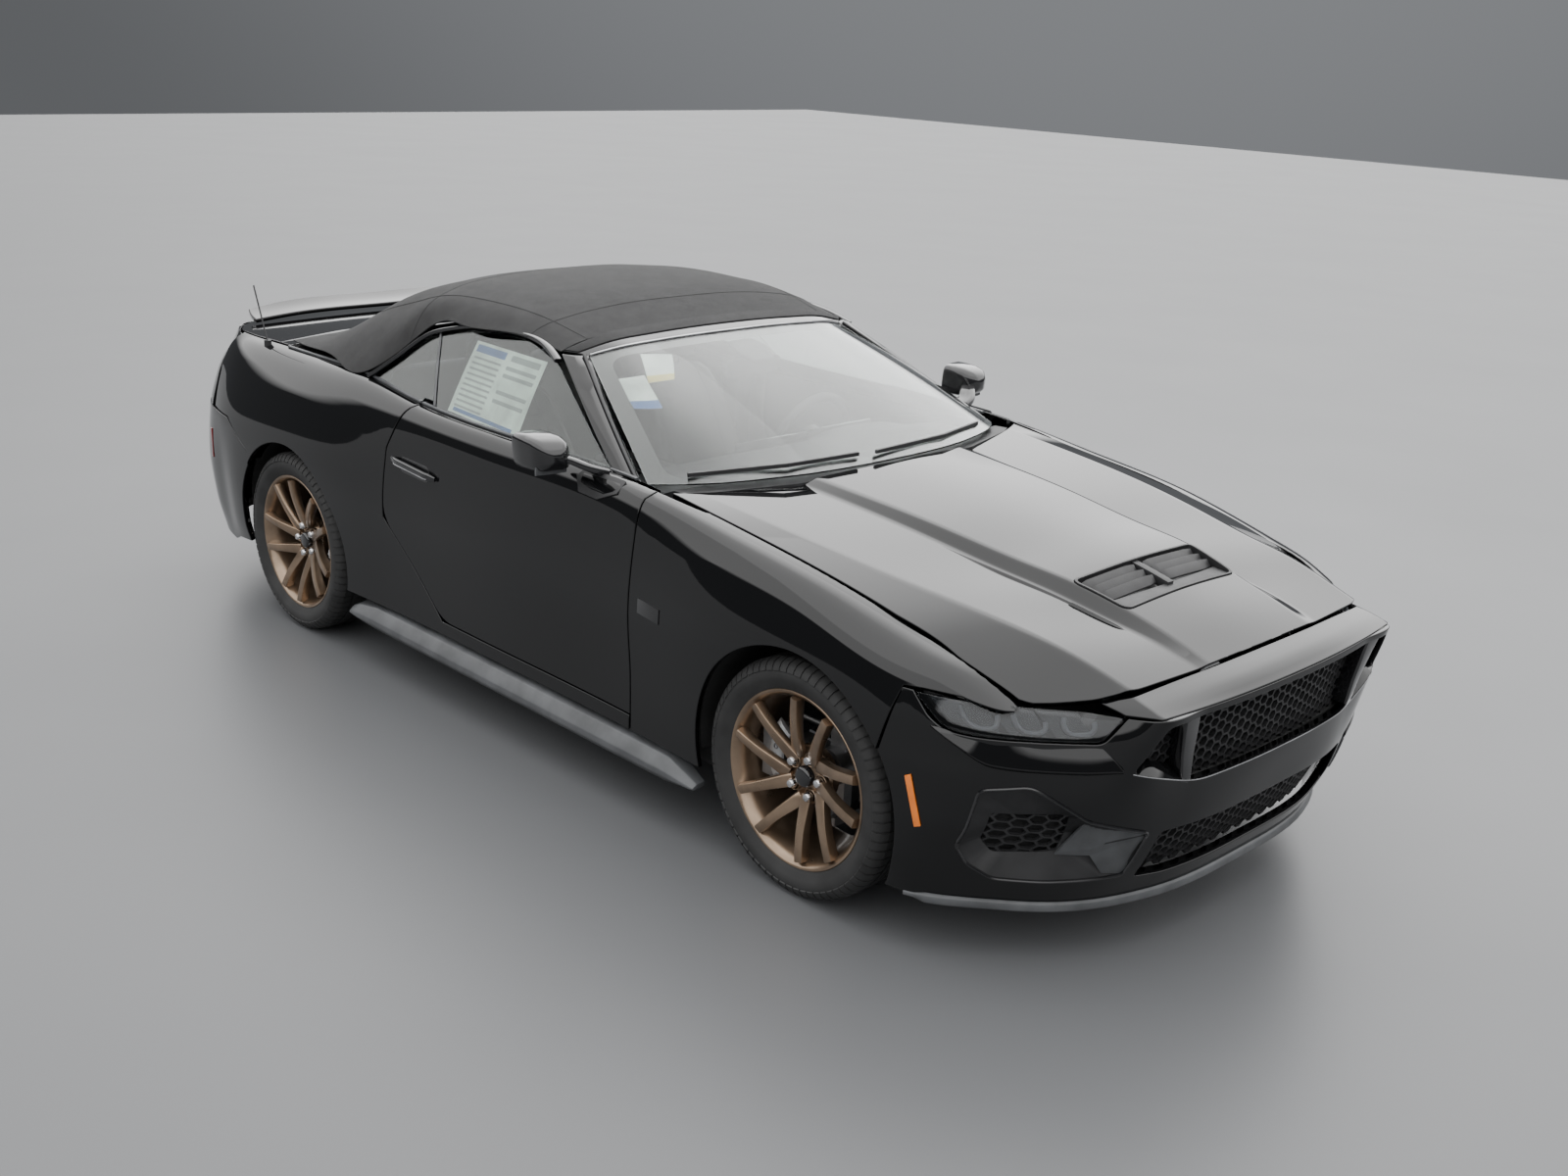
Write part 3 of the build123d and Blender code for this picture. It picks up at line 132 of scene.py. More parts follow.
# Tail: z, then (x, y) of centre, inner, lamp, corner, turn, flank, end.
TAIL = (
    (200, ((0, 2330), (400, 2315), (620, 2262), (752, 2150), (822, 2040),
           (872, 1860), (893, 1740), (908, 1500))),
    (340, ((0, 2385), (400, 2370), (640, 2308), (785, 2180), (856, 2040),
           (893, 1860), (922, 1740), (936, 1500))),
    (520, ((0, 2404), (400, 2389), (650, 2328), (800, 2190), (872, 2040),
           (908, 1860), (934, 1740), (949, 1500))),
    (700, ((0, 2398), (400, 2382), (650, 2315), (795, 2170), (866, 2030),
           (912, 1860), (932, 1740), (951, 1500))),
    (860, ((0, 2345), (400, 2330), (640, 2262), (776, 2116), (842, 1982),
           (866, 1860), (892, 1740), (910, 1500))),
    (905, ((0, 2328), (400, 2313), (636, 2245), (762, 2100), (828, 1972),
           (853, 1860), (876, 1740), (893, 1500))),
    (1000, ((0, 2285), (400, 2270), (620, 2205), (712, 2060), (746, 1980),
           (782, 1860), (802, 1740), (818, 1500))),
    (1012, ((0, 2281), (400, 2266), (618, 2200), (702, 2060), (724, 1980),
           (750, 1860), (770, 1740), (790, 1500))),
)
DECK = (
    (1552, ((0, 1058), (480, 1053), (745, 1036))),
    (1860, ((0, 1048), (470, 1042), (730, 1024))),
    (2060, ((0, 1036), (450, 1030), (698, 1014))),
    (2275, ((0, 1024), (420, 1018), (640, 1004))),
)
BUMPER_TOP_Z = 733.0
DECK_SIDE_SEAM = ((746, 1552), (731, 1860), (698, 2060), (600, 2200), (400, 2262), (0, 2278))
REAR_DECK_Y = (1553, 1634)
LID_Y = (1640, 2278)
SEAM_TURN_Y = 2060
# Soft top, half: y, then (x, z) of centre, crown, side edge.
TOP = (
    (-45, ((0, 1322), (280, 1316), (470, 1300), (575, 1282), (636, 1262))),
    (150, ((0, 1374), (300, 1366), (485, 1344), (598, 1318), (657, 1288))),
    (450, ((0, 1400), (310, 1391), (500, 1366), (616, 1326), (674, 1272))),
    (700, ((0, 1393), (310, 1382), (500, 1354), (612, 1306), (668, 1222))),
    (790, ((0, 1381), (312, 1370), (503, 1340), (616, 1288), (716, 1140))),
    (900, ((0, 1362), (315, 1350), (510, 1316), (622, 1252), (788, 1054))),
    (1150, ((0, 1288), (320, 1275), (515, 1238), (628, 1182), (780, 1056))),
    (1400, ((0, 1164), (325, 1152), (515, 1118), (634, 1090), (752, 1056))),
    (1545, ((0, 1072), (325, 1071), (515, 1069), (634, 1063), (738, 1056))),
)
# Rear pane on the soft top, (x, y).
REAR_PANE = ((-356, 1194), (356, 1194), (396, 1436), (-396, 1436))
# Half-width and height of the leaning side glass at its foot, middle and top.
SIDE_GLASS = ((838, 960), (740, 1125), (630, 1290))
FIN = ((2290, 204), (2322, 204), (2337, 222), (2355, 262), (2368, 306), (2368, 322), (2360, 328), (2310, 328))
SPOILER = (
    (2120, ((0, 1058), (440, 1052), (600, 1038))),
    (2190, ((0, 1066), (432, 1060), (585, 1045))),
    (2262, ((0, 1084), (420, 1076), (560, 1056))),
)
# Front cap between the hood and the grille, half: step, then (x, y, z).
CAP = (
    (0, ((0, -2293, 778), (245, -2289, 776), (400, -2279, 772), (555, -2267, 765), (614, -2214, 748))),
    (55, ((0, -2352, 764), (245, -2347, 762), (400, -2335, 758), (560, -2318, 753), (610, -2250, 742))),
    (112, ((0, -2402, 739), (245, -2396, 739), (400, -2385, 739), (563, -2366, 739), (604, -2284, 734))),
)
# Windscreen and header as rows of (x, y, z), half, from the middle outwards.
SCREEN = (
    (0, ((0, -942, 1004), (400, -898, 1000), (700, -762, 990), (782, -668, 982))),
    (420, ((0, -556, 1157), (350, -530, 1153), (595, -452, 1140), (682, -390, 1124))),
    (840, ((0, -168, 1292), (300, -160, 1286), (480, -140, 1272), (575, -112, 1252))),
)
HEADER = (
    (0, ((0, -168, 1292), (300, -160, 1286), (480, -140, 1272), (575, -112, 1252))),
    (60, ((0, -108, 1310), (300, -104, 1303), (480, -94, 1289), (604, -80, 1260))),
    (120, ((0, -52, 1322), (300, -52, 1315), (480, -52, 1300), (634, -52, 1264))),
)
PILLAR = (
    ((572, -114, 1254), (628, -104, 1256), (644, -54, 1258), (584, -54, 1244)),
    ((783, -668, 955), (826, -664, 955), (830, -600, 955), (790, -600, 955)),
)
# Openings in the nose cover seen from the front, (x, z).
LAMP = ((602, 729), (652, 661), (782, 658), (859, 655), (885, 658), (894, 682), (902, 738))
GRILLE = ((-540, 715), (540, 715), (598, 590), (380, 522), (0, 528), (-380, 522), (-598, 590))
LOW_INTAKE = ((-450, 387), (450, 387), (474, 246), (380, 236), (-380, 236), (-474, 246))
SIDE_INTAKE = ((846, 520), (774, 544), (664, 453), (492, 396), (516, 266), (690, 256), (781, 256), (832, 298),
               (858, 350))
MESH_ZONE = ((826, 436), (690, 448), (688, 324), (798, 309), (826, 348))


# ---------------------------------------------------------------- smooth surfaces
def unit(vectors):
    """Rows scaled to length one."""
    return vectors / np.maximum(np.linalg.norm(vectors, axis=1, keepdims=True), 1e-9)


def spots_between(places, at):
    """The interval of the places that holds each value, and the value's share of it."""
    i = np.clip(np.searchsorted(places, at, side="right") - 1, 0, len(places) - 2)
    span = places[i + 1] - places[i]
    return i, span, (at - places[i]) / span


def hermite(share, start, leave, end, arrive):
    """Cubic between two values with their slopes; share runs from 0 to 1."""
    square, cube = share ** 2, share ** 3
    return ((2 * cube - 3 * square + 1) * start + (cube - 2 * square + share) * leave
            + (3 * square - 2 * cube) * end + (cube - square) * arrive)


def natural_slopes(places, values):
    """Slopes of the natural cubic spline through rows of values."""
    count, span = len(places), np.diff(places)
    system, right = np.eye(count), np.zeros_like(values)
    for i in range(1, count - 1):
        system[i, i - 1:i + 2] = span[i - 1], 2 * (span[i - 1] + span[i]), span[i]
        rise = (values[i + 1] - values[i]) / span[i]
        right[i] = 6 * (rise - (values[i] - values[i - 1]) / span[i - 1])
    bend = np.linalg.solve(system, right.reshape(count, -1)).reshape(values.shape)
    slopes = np.zeros_like(values)
    for i in range(count - 1):
        rise = (values[i + 1] - values[i]) / span[i]
        slopes[i] = rise - span[i] * (2 * bend[i] + bend[i + 1]) / 6
    slopes[-1] = rise + span[-1] * (2 * bend[-1] + bend[-2]) / 6
    return slopes


def held_slopes(places, values):
    """Slopes that never overshoot the rows (monotone cubic)."""
    span = np.diff(places).reshape(-1, *([1] * (values.ndim - 1)))
    rise = np.diff(values, axis=0) / span
    slopes = np.zeros_like(values)
    product = rise[1:] * rise[:-1]
    total = rise[1:] + rise[:-1]
    safe = np.where(np.abs(total) < 1e-9, 1.0, total)
    slopes[1:-1] = np.where(product > 0, 2 * product / safe, 0)
    slopes[0], slopes[-1] = rise[0], rise[-1]
    return slopes


class Skin:
    """A smooth surface through rows of sections: s runs along the rows, t across the columns."""

    def __init__(self, table, kind="side", full=False, crease=(), soft=9.0, held=False, out=(0, 0, 1)):
        rows = sorted(table)
        self.s = np.array([row[0] for row in rows], float)
        points = np.array([row[1] for row in rows], float)
        if full:
            left = points[:, :0:-1].copy()
            left[:, :, 0] *= -1
            mid = points.shape[1] - 1
            crease = sorted({mid + c for c in crease} | {mid - c for c in crease})
            points = np.concatenate([left, points], axis=1)
        self.points, self.kind, self.soft, self.out = points, kind, soft, np.array(out)
        self.slopes = (held_slopes if held else natural_slopes)(self.s, points)
        self.crease = list(crease)
        self.last = points.shape[1] - 1
        lengths = np.linalg.norm(np.diff(points, axis=1), axis=2).mean(axis=0)
        self.u = np.concatenate([[0], np.cumsum(lengths)])

    def columns(self, s):
        """The section's own columns at each s, between the rows of the table."""
        s = np.clip(s, self.s[0], self.s[-1])
        i, span, share = spots_between(self.s, s)
        span, share = span[:, None, None], share[:, None, None]
        return hermite(share, self.points[i], self.slopes[i] * span,
                       self.points[i + 1], self.slopes[i + 1] * span)

    def raw(self, columns, t):
        """The section at t, on a smooth line through its columns that breaks at the creases."""
        t = np.clip(t, 0, self.last)
        chord = np.diff(columns, axis=1)
        length = np.maximum(np.linalg.norm(chord, axis=2, keepdims=True), 1e-6)
        way = chord / length
        before, after = length[:, :-1], length[:, 1:]
        middle = (way[:, :-1] * after + way[:, 1:] * before) / (after + before)
        leave = np.concatenate([way[:, :1], middle, way[:, -1:]], axis=1)
        arrive = leave.copy()
        for k in [0, *self.crease]:
            behind = way[:, k] if k + 1 in self.crease else arrive[:, k + 1]
            leave[:, k] = 1.5 * way[:, k] - 0.5 * behind
        for k in [self.last, *self.crease]:
            ahead = way[:, k - 1] if k - 1 in self.crease else middle[:, k - 2] if k > 1 else way[:, 0]
            arrive[:, k] = 1.5 * way[:, k - 1] - 0.5 * ahead
        k = np.clip(np.floor(t).astype(int), 0, self.last - 1)
        n = np.arange(len(t))
        share = (t - k)[:, None]
        return hermite(share, columns[n, k], leave[n, k] * length[n, k], columns[n, k + 1],
                       arrive[n, k + 1] * length[n, k])

    def section(self, s, t):
        """The two section coordinates, with creases rounded over a few millimetres."""
        columns = self.columns(s)
        steps = np.arange(self.last + 1)
        u = np.interp(t, steps, self.u)
        reach = np.minimum(self.soft, np.minimum(u, self.u[-1] - u))
        total = 0
        for offset, weight in ((-1, 0.15), (-0.5, 0.22), (0, 0.26), (0.5, 0.22), (1, 0.15)):
            total = total + weight * self.raw(columns, np.interp(u + offset * reach, self.u, steps))
        return total

    def place(self, s, t):
        """Points in space for arrays of s and t."""
        s, t = np.broadcast_arrays(np.asarray(s, float), np.asarray(t, float))
        flat = self.section(s, t)
        s = np.clip(s, self.s[0], self.s[-1])
        if self.kind == "free":
            return flat
        if self.kind == "side":
            return np.stack([flat[:, 0], s, flat[:, 1]], axis=1)
        return np.stack([flat[:, 0], flat[:, 1], s], axis=1)

    def normals(self, s, t, out=None):
        """Unit normals on the side of the outward direction."""
        ahead, back = np.minimum(s + 3, self.s[-1]), np.maximum(s - 3, self.s[0])
        right, left = np.minimum(t + 0.02, self.last), np.maximum(t - 0.02, 0)
        cross = np.cross(self.place(ahead, t) - self.place(back, t),
                         self.place(s, right) - self.place(s, left))
        cross = unit(cross)
        flip = np.sign((cross @ np.array(self.out if out is None else out)).mean()) or 1.0
        return cross * flip

    def solve(self, s, value, axis, low=0.0):
        """The t where the section's coordinate (0 or 1) takes a value, at each s."""
        s, value = np.broadcast_arrays(np.asarray(s, float), np.asarray(value, float))
        a = np.full(len(s), float(low))
        b = np.full(len(s), float(self.last))
        rising = self.section(s, b)[:, axis] > self.section(s, a)[:, axis]
        for _ in range(26):
            middle = (a + b) / 2
            over = (self.section(s, middle)[:, axis] > value) == rising
            a, b = np.where(over, a, middle), np.where(over, middle, b)
        return (a + b) / 2


def walk(points, step=14.0, radius=0.0, closed=True):
    """A polyline sampled evenly, its corners rounded with one radius or one per corner."""
    points = [np.array(p, float) for p in points]
    count = len(points)
    radii = radius if hasattr(radius, "__len__") else [radius] * count
    dense = []
    for i, corner in enumerate(points):
        r = radii[i]
        if not closed and i in (0, count - 1) or r <= 0:
            dense.append(corner)
            continue
        before, after = points[i - 1] - corner, points[(i + 1) % count] - corner
        lb, la = np.linalg.norm(before), np.linalg.norm(after)
        cut = min(r, 0.48 * lb, 0.48 * la)
        a, b = corner + before / lb * cut, corner + after / la * cut
        for j in range(7):
            q = j / 6
            dense.append((1 - q) ** 2 * a + 2 * q * (1 - q) * corner + q * q * b)
    if closed:
        dense.append(dense[0])
    line = []
    for a, b in zip(dense, dense[1:]):
        pieces = max(1, int(math.ceil(np.linalg.norm(b - a) / step)))
        line.extend(a + (b - a) * j / pieces for j in range(pieces))
    if not closed:
        line.append(dense[-1])
    return np.array(line)


def arc(y, z, radius, start, end, count=40):
    """Points on a circle between two angles in degrees."""
    turns = np.radians(np.linspace(start, end, count))
    return [(y + radius * math.cos(a), z + radius * math.sin(a)) for a in turns]


def inside(points, loop):
    """Which of the points lie inside a closed loop."""
    x, y = points[:, 0], points[:, 1]
    result = np.zeros(len(points), bool)
    x0, y0 = loop[:, 0], loop[:, 1]
    x1, y1 = np.roll(x0, -1), np.roll(y0, -1)
    for a0, b0, a1, b1 in zip(x0, y0, x1, y1):
        if b0 == b1:
            continue
        crosses = (b0 > y) != (b1 > y)
        result ^= crosses & (x < (a1 - a0) * (y - b0) / (b1 - b0) + a0)
    return result


def within(points, loops):
    """Which of the points lie inside the first loop and outside the others."""
    keep = inside(points, loops[0])
    for hole in loops[1:]:
        keep &= ~inside(points, hole)
    return keep


def distance(points, loop):
    """Distance of each point from a closed loop."""
    best = np.full(len(points), 1e9)
    ends = np.roll(loop, -1, axis=0)
    for a, b in zip(loop, ends):
        d = b - a
        size = max(float(d @ d), 1e-12)
        share = np.clip(((points - a) @ d) / size, 0, 1)
        best = np.minimum(best, np.linalg.norm(points - (a + share[:, None] * d), axis=1))
    return best


def flat_mesh(loops, pitch, lines_u=()):
    """Triangles that fill the first loop, less the others, on a regular grid."""
    outer = loops[0]
    low, high = outer.min(axis=0), outer.max(axis=0)
    us = np.unique(np.concatenate([np.arange(low[1], high[1], pitch), list(lines_u)]))
    ss = np.unique(np.arange(low[0], high[0], pitch))
    grid = np.array([(s, u) for s in ss for u in us if low[1] < u < high[1] and low[0] < s < high[0]])
    if len(grid):
        grid = grid[within(grid, loops)]
        for loop in loops:
            grid = grid[distance(grid, loop) > pitch * 0.4]
    points, edges = [], []
    for loop in loops:
        start = len(points)
        points.extend(map(tuple, loop))
        edges.extend((start + i, start + (i + 1) % len(loop)) for i in range(len(loop)))
    points.extend(map(tuple, grid))
    found = delaunay_2d_cdt([Vector(p) for p in points], edges, [], 0, 1e-5)
    flat = np.array([tuple(v) for v in found[0]])
    faces = np.array([f for f in found[2] if len(f) == 3])
    faces = faces[within(flat[faces].mean(axis=1), loops)]
    used = np.unique(faces)
    index = np.full(len(flat), -1)
    index[used] = np.arange(len(used))
    return flat[used], index[faces]


# ---------------------------------------------------------------- pieces
def mesh_object(name, points, faces, normals=None, smooth=True):
    """A mesh object from millimetre points, in the frame's metres."""
    mesh = bpy.data.meshes.new(name)
    mesh.from_pydata([tuple(p) for p in np.asarray(points, float) * MM], [],
                     [tuple(map(int, f)) for f in faces])
    mesh.update()
    if smooth:
        mesh.polygons.foreach_set("use_smooth", [True] * len(mesh.polygons))
    if normals is not None:
        mesh.normals_split_custom_set_from_vertices([tuple(n) for n in normals])
    piece = bpy.data.objects.new(name, mesh)
    bpy.context.scene.collection.objects.link(piece)
    return piece


def finish_piece(piece, surface, body, stands=()):
    """Gives a piece its material, its body and the nodes that it stands for."""
    piece.data.materials.clear()
    piece.data.materials.append(surface)
    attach(piece, body)
    if stands:
        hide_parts(*stands)
    return piece


def mirrored_points(points):
    """Points carried over to the right-hand side."""
    turned = np.array(points, float).copy()
    turned[:, 0] *= -1
    return turned


def mirrored(shape):
    """The right-hand copy of (points, faces)."""
    return mirrored_points(shape[0]), [f[::-1] for f in shape[1]]


def sided(word, known, side):
    """A name as it stands, if it is known, or else with the ending of its side."""
    return word if word in known else f"{word}_{'left' if side > 0 else 'right'}"


def sided_nodes(stands, side, paired):
    """The nodes that a piece stands for; one for both sides goes with the left piece alone."""
    nodes = [sided(node, frame["nodes"], side) for node in stands]
    return [] if side < 0 and paired and stands and nodes[0] == stands[0] else nodes


def solid_panel(skin, loops, pitch=22.0, wall=10.0, hem=2.5, out=None, inner=None, lift=0.0):
    """Points, faces and normals of a closed panel with rounded edges; loops are (s, t)."""
    t_line = np.arange(skin.last + 1)
    domain = [np.stack([loop[:, 0], np.interp(loop[:, 1], t_line, skin.u)], axis=1)
              for loop in map(np.array, loops)]
    lines = []
    for k in skin.crease:
        for step in (-1.6, -0.8, 0, 0.8, 1.6):
            lines.append(skin.u[k] + step * skin.soft)
    flat, faces = flat_mesh(domain, pitch, lines)
    s, t = flat[:, 0], np.interp(flat[:, 1], skin.u, t_line)
    points, normals = skin.place(s, t), skin.normals(s, t, out)
    points = points + normals * lift
    corner = points[faces]
    facing = np.cross(corner[:, 1] - corner[:, 0], corner[:, 2] - corner[:, 0])
    wrong = (facing * normals[faces[:, 0]]).sum(axis=1) < 0
    faces[wrong] = faces[wrong][:, ::-1]
    return thicken(points, faces, normals, wall, hem, inner)


def thicken(points, faces, normals, wall, hem, inner=None):
    """Closes an open smooth sheet into a solid with a rounded rim."""
    directed = {}
    for a, b, c in faces:
        for i, j in ((a, b), (b, c), (c, a)):
            directed[(int(i), int(j))] = True
    following, before = {}, {}
    for (i, j) in directed:
        if (j, i) not in directed:
            following[i] = j
            before[j] = i
    rim = sorted(following)
    spot = {v: n for n, v in enumerate(rim)}
    edge = points[rim]
    edge_n = normals[rim]
    tangent = np.array([points[following[v]] - points[before[v]] for v in rim])
    outward = unit(np.cross(tangent, edge_n))
    all_points, all_normals, all_faces = [points.copy()], [normals], [faces]
    all_points[0][rim] = edge - outward * hem
    count = len(points)
    rings = [np.array(rim)]
    for turn in (math.radians(35), math.radians(65), math.radians(90)):
        ring = edge - outward * hem * (1 - math.sin(turn)) - edge_n * hem * (1 - math.cos(turn))
        all_points.append(ring)
        all_normals.append(edge_n * math.cos(turn) + outward * math.sin(turn))
        rings.append(np.arange(count, count + len(rim)))
        count += len(rim)
    under = inner(points) if inner else points - normals * wall
    all_points.append(under)
    all_normals.append(-normals)
    rings.append(count + np.array(rim))
    all_faces.append(faces[:, ::-1] + count)
    quads = []
    for upper, lower in zip(rings, rings[1:]):
        for v in rim:
            w = following[v]
            a, b = upper[spot[v]], upper[spot[w]]
            c, d = lower[spot[w]], lower[spot[v]]
            quads.append((b, a, d, c))
    shape = [tuple(f) for part in all_faces for f in part] + quads
    return np.concatenate(all_points), shape, np.concatenate(all_normals)


def panel(name, skin, loops, surface, body="car", slot=None, stands=(), sides=(1,), **form):
    """One smooth panel, or a left and a right one; a two-sided name ends in _left or _right."""
    points, faces, normals = solid_panel(skin, loops, **form)
    made = []
    for side in sides:
        label = name if sides == (1,) else sided(name, (), side)
        if side > 0:
            piece = mesh_object(label, points, faces, normals)
        else:
            piece = mesh_object(label, *mirrored((points, faces)), mirrored_points(normals))
        nodes = sided_nodes(stands, side, sides != (1,))
        made.append(finish_piece(piece, surface, sided(body, frame["bodies"], side),
                                 nodes))
    return made


def whole(skin, inset=0.0, step=20.0):
    """The loop round a skin's whole domain, drawn in by inset millimetres."""
    s0, s1, u0, u1 = skin.s[0] + inset, skin.s[-1] - inset, inset, skin.u[-1] - inset
    return by_length(skin, walk([(s0, u0), (s1, u0), (s1, u1), (s0, u1)], step))


def on_rows(skin, line, axis=0, along=1, low=0.0):
    """A line in two space coordinates as (s, t): along is the row direction, axis is solved for."""
    return np.stack([line[:, along], skin.solve(line[:, along], line[:, 1 - along], axis, low)], axis=1)


def by_length(skin, line):
    """Points given by row and by length across the columns, as (s, t)."""
    return np.stack([line[:, 0], np.interp(line[:, 1], skin.u, np.arange(skin.last + 1))], axis=1)


def loop_by(skin, points, axis=0, along=1, low=0.0, radius=0.0, step=14.0):
    """A closed outline in two space coordinates as (s, t)."""
    return on_rows(skin, walk(points, step, radius), axis, along, low)


def frames(line, level, closed):
    """Unit side and rise at each point of a line."""
    way = unit(np.roll(line, -1, axis=0) - np.roll(line, 1, axis=0) if closed else np.gradient(line, axis=0))
    aside = unit(np.cross(way, np.array(level, float)))
    return aside, np.cross(aside, way)


def spline(points, count):
    """Evenly parted points on a smooth line through a few given ones."""
    points = np.array(points, float)
    at = np.concatenate([[0], np.cumsum(np.linalg.norm(np.diff(points, axis=0), axis=1))])
    slopes = natural_slopes(at, points)
    i, span, share = spots_between(at, np.linspace(0, at[-1], count))
    span, share = span[:, None], share[:, None]
    return hermite(share, points[i], slopes[i] * span, points[i + 1], slopes[i + 1] * span)


def skinned(rings, closed=False):
    """Points and faces of a closed solid through rings with equal numbers of points."""
    rings = [np.asarray(ring, float) for ring in rings]
    count, size = len(rings), len(rings[0])
    faces = []
    for i in range(count if closed else count - 1):
        for j in range(size):
            a, b = i * size + j, i * size + (j + 1) % size
            c, d = (i + 1) % count * size + (j + 1) % size, (i + 1) % count * size + j
            faces.append((a, b, c, d))
    if not closed:
        faces.append(tuple(range(size))[::-1])
        faces.append(tuple((count - 1) * size + j for j in range(size)))
    return np.concatenate(rings), faces


def oval(width, height, power=2.0, count=16):
    """A rounded outline; a power above 2 makes it squarer."""
    turns = np.linspace(0, 2 * math.pi, count, endpoint=False)
    cos, sin = np.cos(turns), np.sin(turns)
    return np.stack([np.sign(cos) * np.abs(cos) ** (2 / power) * width / 2,
                     np.sign(sin) * np.abs(sin) ** (2 / power) * height / 2], axis=1)


def sweep(line, outline, scale=None, level=(0, 0, 1), closed=False):
    """Points and faces of an outline carried along a line; scale is one number or pair per point."""
    line = np.asarray(line, float)
    aside, rise = frames(line, level, closed)
    scale = np.ones(len(line)) if scale is None else np.array(scale, float)
    scale = np.broadcast_to(scale.reshape(len(line), -1), (len(line), 2))
    rings = [p + outline[:, :1] * k[0] * a + outline[:, 1:] * k[1] * r
             for p, a, r, k in zip(line, aside, rise, scale)]
    return skinned(rings, closed)


def gather(*parts):
    """One mesh from several (points, faces)."""
    points, faces, start = [], [], 0
    for own, shape in parts:
        points.append(np.asarray(own, float))
        faces.extend(tuple(int(v) + start for v in face) for face in shape)
        start += len(own)
    return np.concatenate(points), faces


def solid(name, shape, surface, body="car", stands=(), sides=(1,), bevel=0.0, split=0, angle=40.0):
    """A closed piece, or a left and a right one, with softened edges."""
    paired = len(sides) == 2
    for side in sides:
        piece = mesh_object(sided(name, () if paired else (name,), side),
                            *(shape if side > 0 else mirrored(shape)))
        made = bmesh.new()
        made.from_mesh(piece.data)
        bmesh.ops.recalc_face_normals(made, faces=made.faces)
        if bevel:
            limit = math.radians(angle)
            sharp = [e for e in made.edges if len(e.link_faces) == 2 and e.calc_face_angle(0) > limit]
            bmesh.ops.bevel(made, geom=sharp, offset=bevel * MM, segments=2, profile=0.6, affect="EDGES")
        made.to_mesh(piece.data)
        made.free()
        if split:
            smooth = piece.modifiers.new("smooth", "SUBSURF")
            smooth.levels = smooth.render_levels = split
        piece.data.set_sharp_from_angle(angle=math.radians(angle))
        nodes = sided_nodes(stands, side, paired)
        finish_piece(piece, surface, sided(body, frame["bodies"], side), nodes)
    return piece


def block(x0, x1, y0, y1, z0, z1):
    """Points and faces of a box, for bevelling."""
    points = [(x, y, z) for z in (z0, z1) for x, y in ((x0, y0), (x1, y0), (x1, y1), (x0, y1))]
    return skinned([points[:4], points[4:]])


def turned(profile, axle, count=96, phase=0.0):
    """A closed profile of (x, radius) turned about a wheel's axle at (y, z)."""
    rings = []
    for i in range(count):
        a = 2 * math.pi * i / count + phase
        rings.append([(x, axle[0] + r * math.cos(a), axle[1] + r * math.sin(a)) for x, r in profile])
    return skinned(rings, closed=True)


# ---------------------------------------------------------------- materials
def shader(name, colour, roughness, metallic=0.0, **sockets):
    """A principled material; sockets are set on the shader itself."""
    made = bpy.data.materials.new(name)
    made.use_nodes = True
    node = made.node_tree.nodes["Principled BSDF"]
    node.inputs["Base Color"].default_value = (*colour, 1)
    node.inputs["Roughness"].default_value = roughness
    node.inputs["Metallic"].default_value = metallic
    for key, value in sockets.items():
        node.inputs[key.replace("_", " ")].default_value = value
    return made


def tree(made):
    """A material's nodes, links and shader."""
    nodes, links = made.node_tree.nodes, made.node_tree.links
    return nodes, links, nodes["Principled BSDF"]


def noise(made, scale, detail=4.0, stretch=None):
    """A noise texture on object coordinates, in cycles per metre."""
    nodes, links, _ = tree(made)
    where = nodes.new("ShaderNodeTexCoord")
    texture = nodes.new("ShaderNodeTexNoise")
    texture.inputs["Scale"].default_value = scale
    texture.inputs["Detail"].default_value = detail
    if stretch:
        mapping = nodes.new("ShaderNodeMapping")
        mapping.inputs["Scale"].default_value = stretch
        links.new(where.outputs["Object"], mapping.inputs["Vector"])
        links.new(mapping.outputs["Vector"], texture.inputs["Vector"])
    else:
        links.new(where.outputs["Object"], texture.inputs["Vector"])
    return texture.outputs["Fac"]


def vary(made, source, low, high, socket="Roughness"):
    """Runs a socket between two values with a texture."""
    nodes, links, principled = tree(made)
    spread = nodes.new("ShaderNodeMapRange")
    spread.inputs["To Min"].default_value = low
    spread.inputs["To Max"].default_value = high
    links.new(source, spread.inputs["Value"])
    links.new(spread.outputs["Result"], principled.inputs[socket])


def tint(made, source, dark, light, start=0.35, end=0.65):
    """Runs the base colour between two colours with a texture."""
    nodes, links, principled = tree(made)
    ramp = nodes.new("ShaderNodeValToRGB")
    ramp.color_ramp.elements[0].position, ramp.color_ramp.elements[1].position = start, end
    ramp.color_ramp.elements[0].color, ramp.color_ramp.elements[1].color = (*dark, 1), (*light, 1)
    links.new(source, ramp.inputs["Fac"])
    links.new(ramp.outputs["Color"], principled.inputs["Base Color"])


def bump(made, source, strength, depth):
    """Adds relief from a texture; depth is in metres."""
    nodes, links, principled = tree(made)
    relief = nodes.new("ShaderNodeBump")
    relief.inputs["Strength"].default_value = strength
    relief.inputs["Distance"].default_value = depth
    links.new(source, relief.inputs["Height"])
    links.new(relief.outputs["Normal"], principled.inputs["Normal"])
    return relief


def make_paint():
    """Black paint under clear coat, with a fine orange peel."""
    made = shader("body_paint", (0.0035, 0.0036, 0.004), 0.3, Coat_Weight=1.0, Coat_Roughness=0.035,
                  Specular_IOR_Level=0.0)
    vary(made, noise(made, 7.0, 3.0), 0.24, 0.33)
    bump(made, noise(made, 420.0, 1.0), 0.03, 0.0004)
    return made


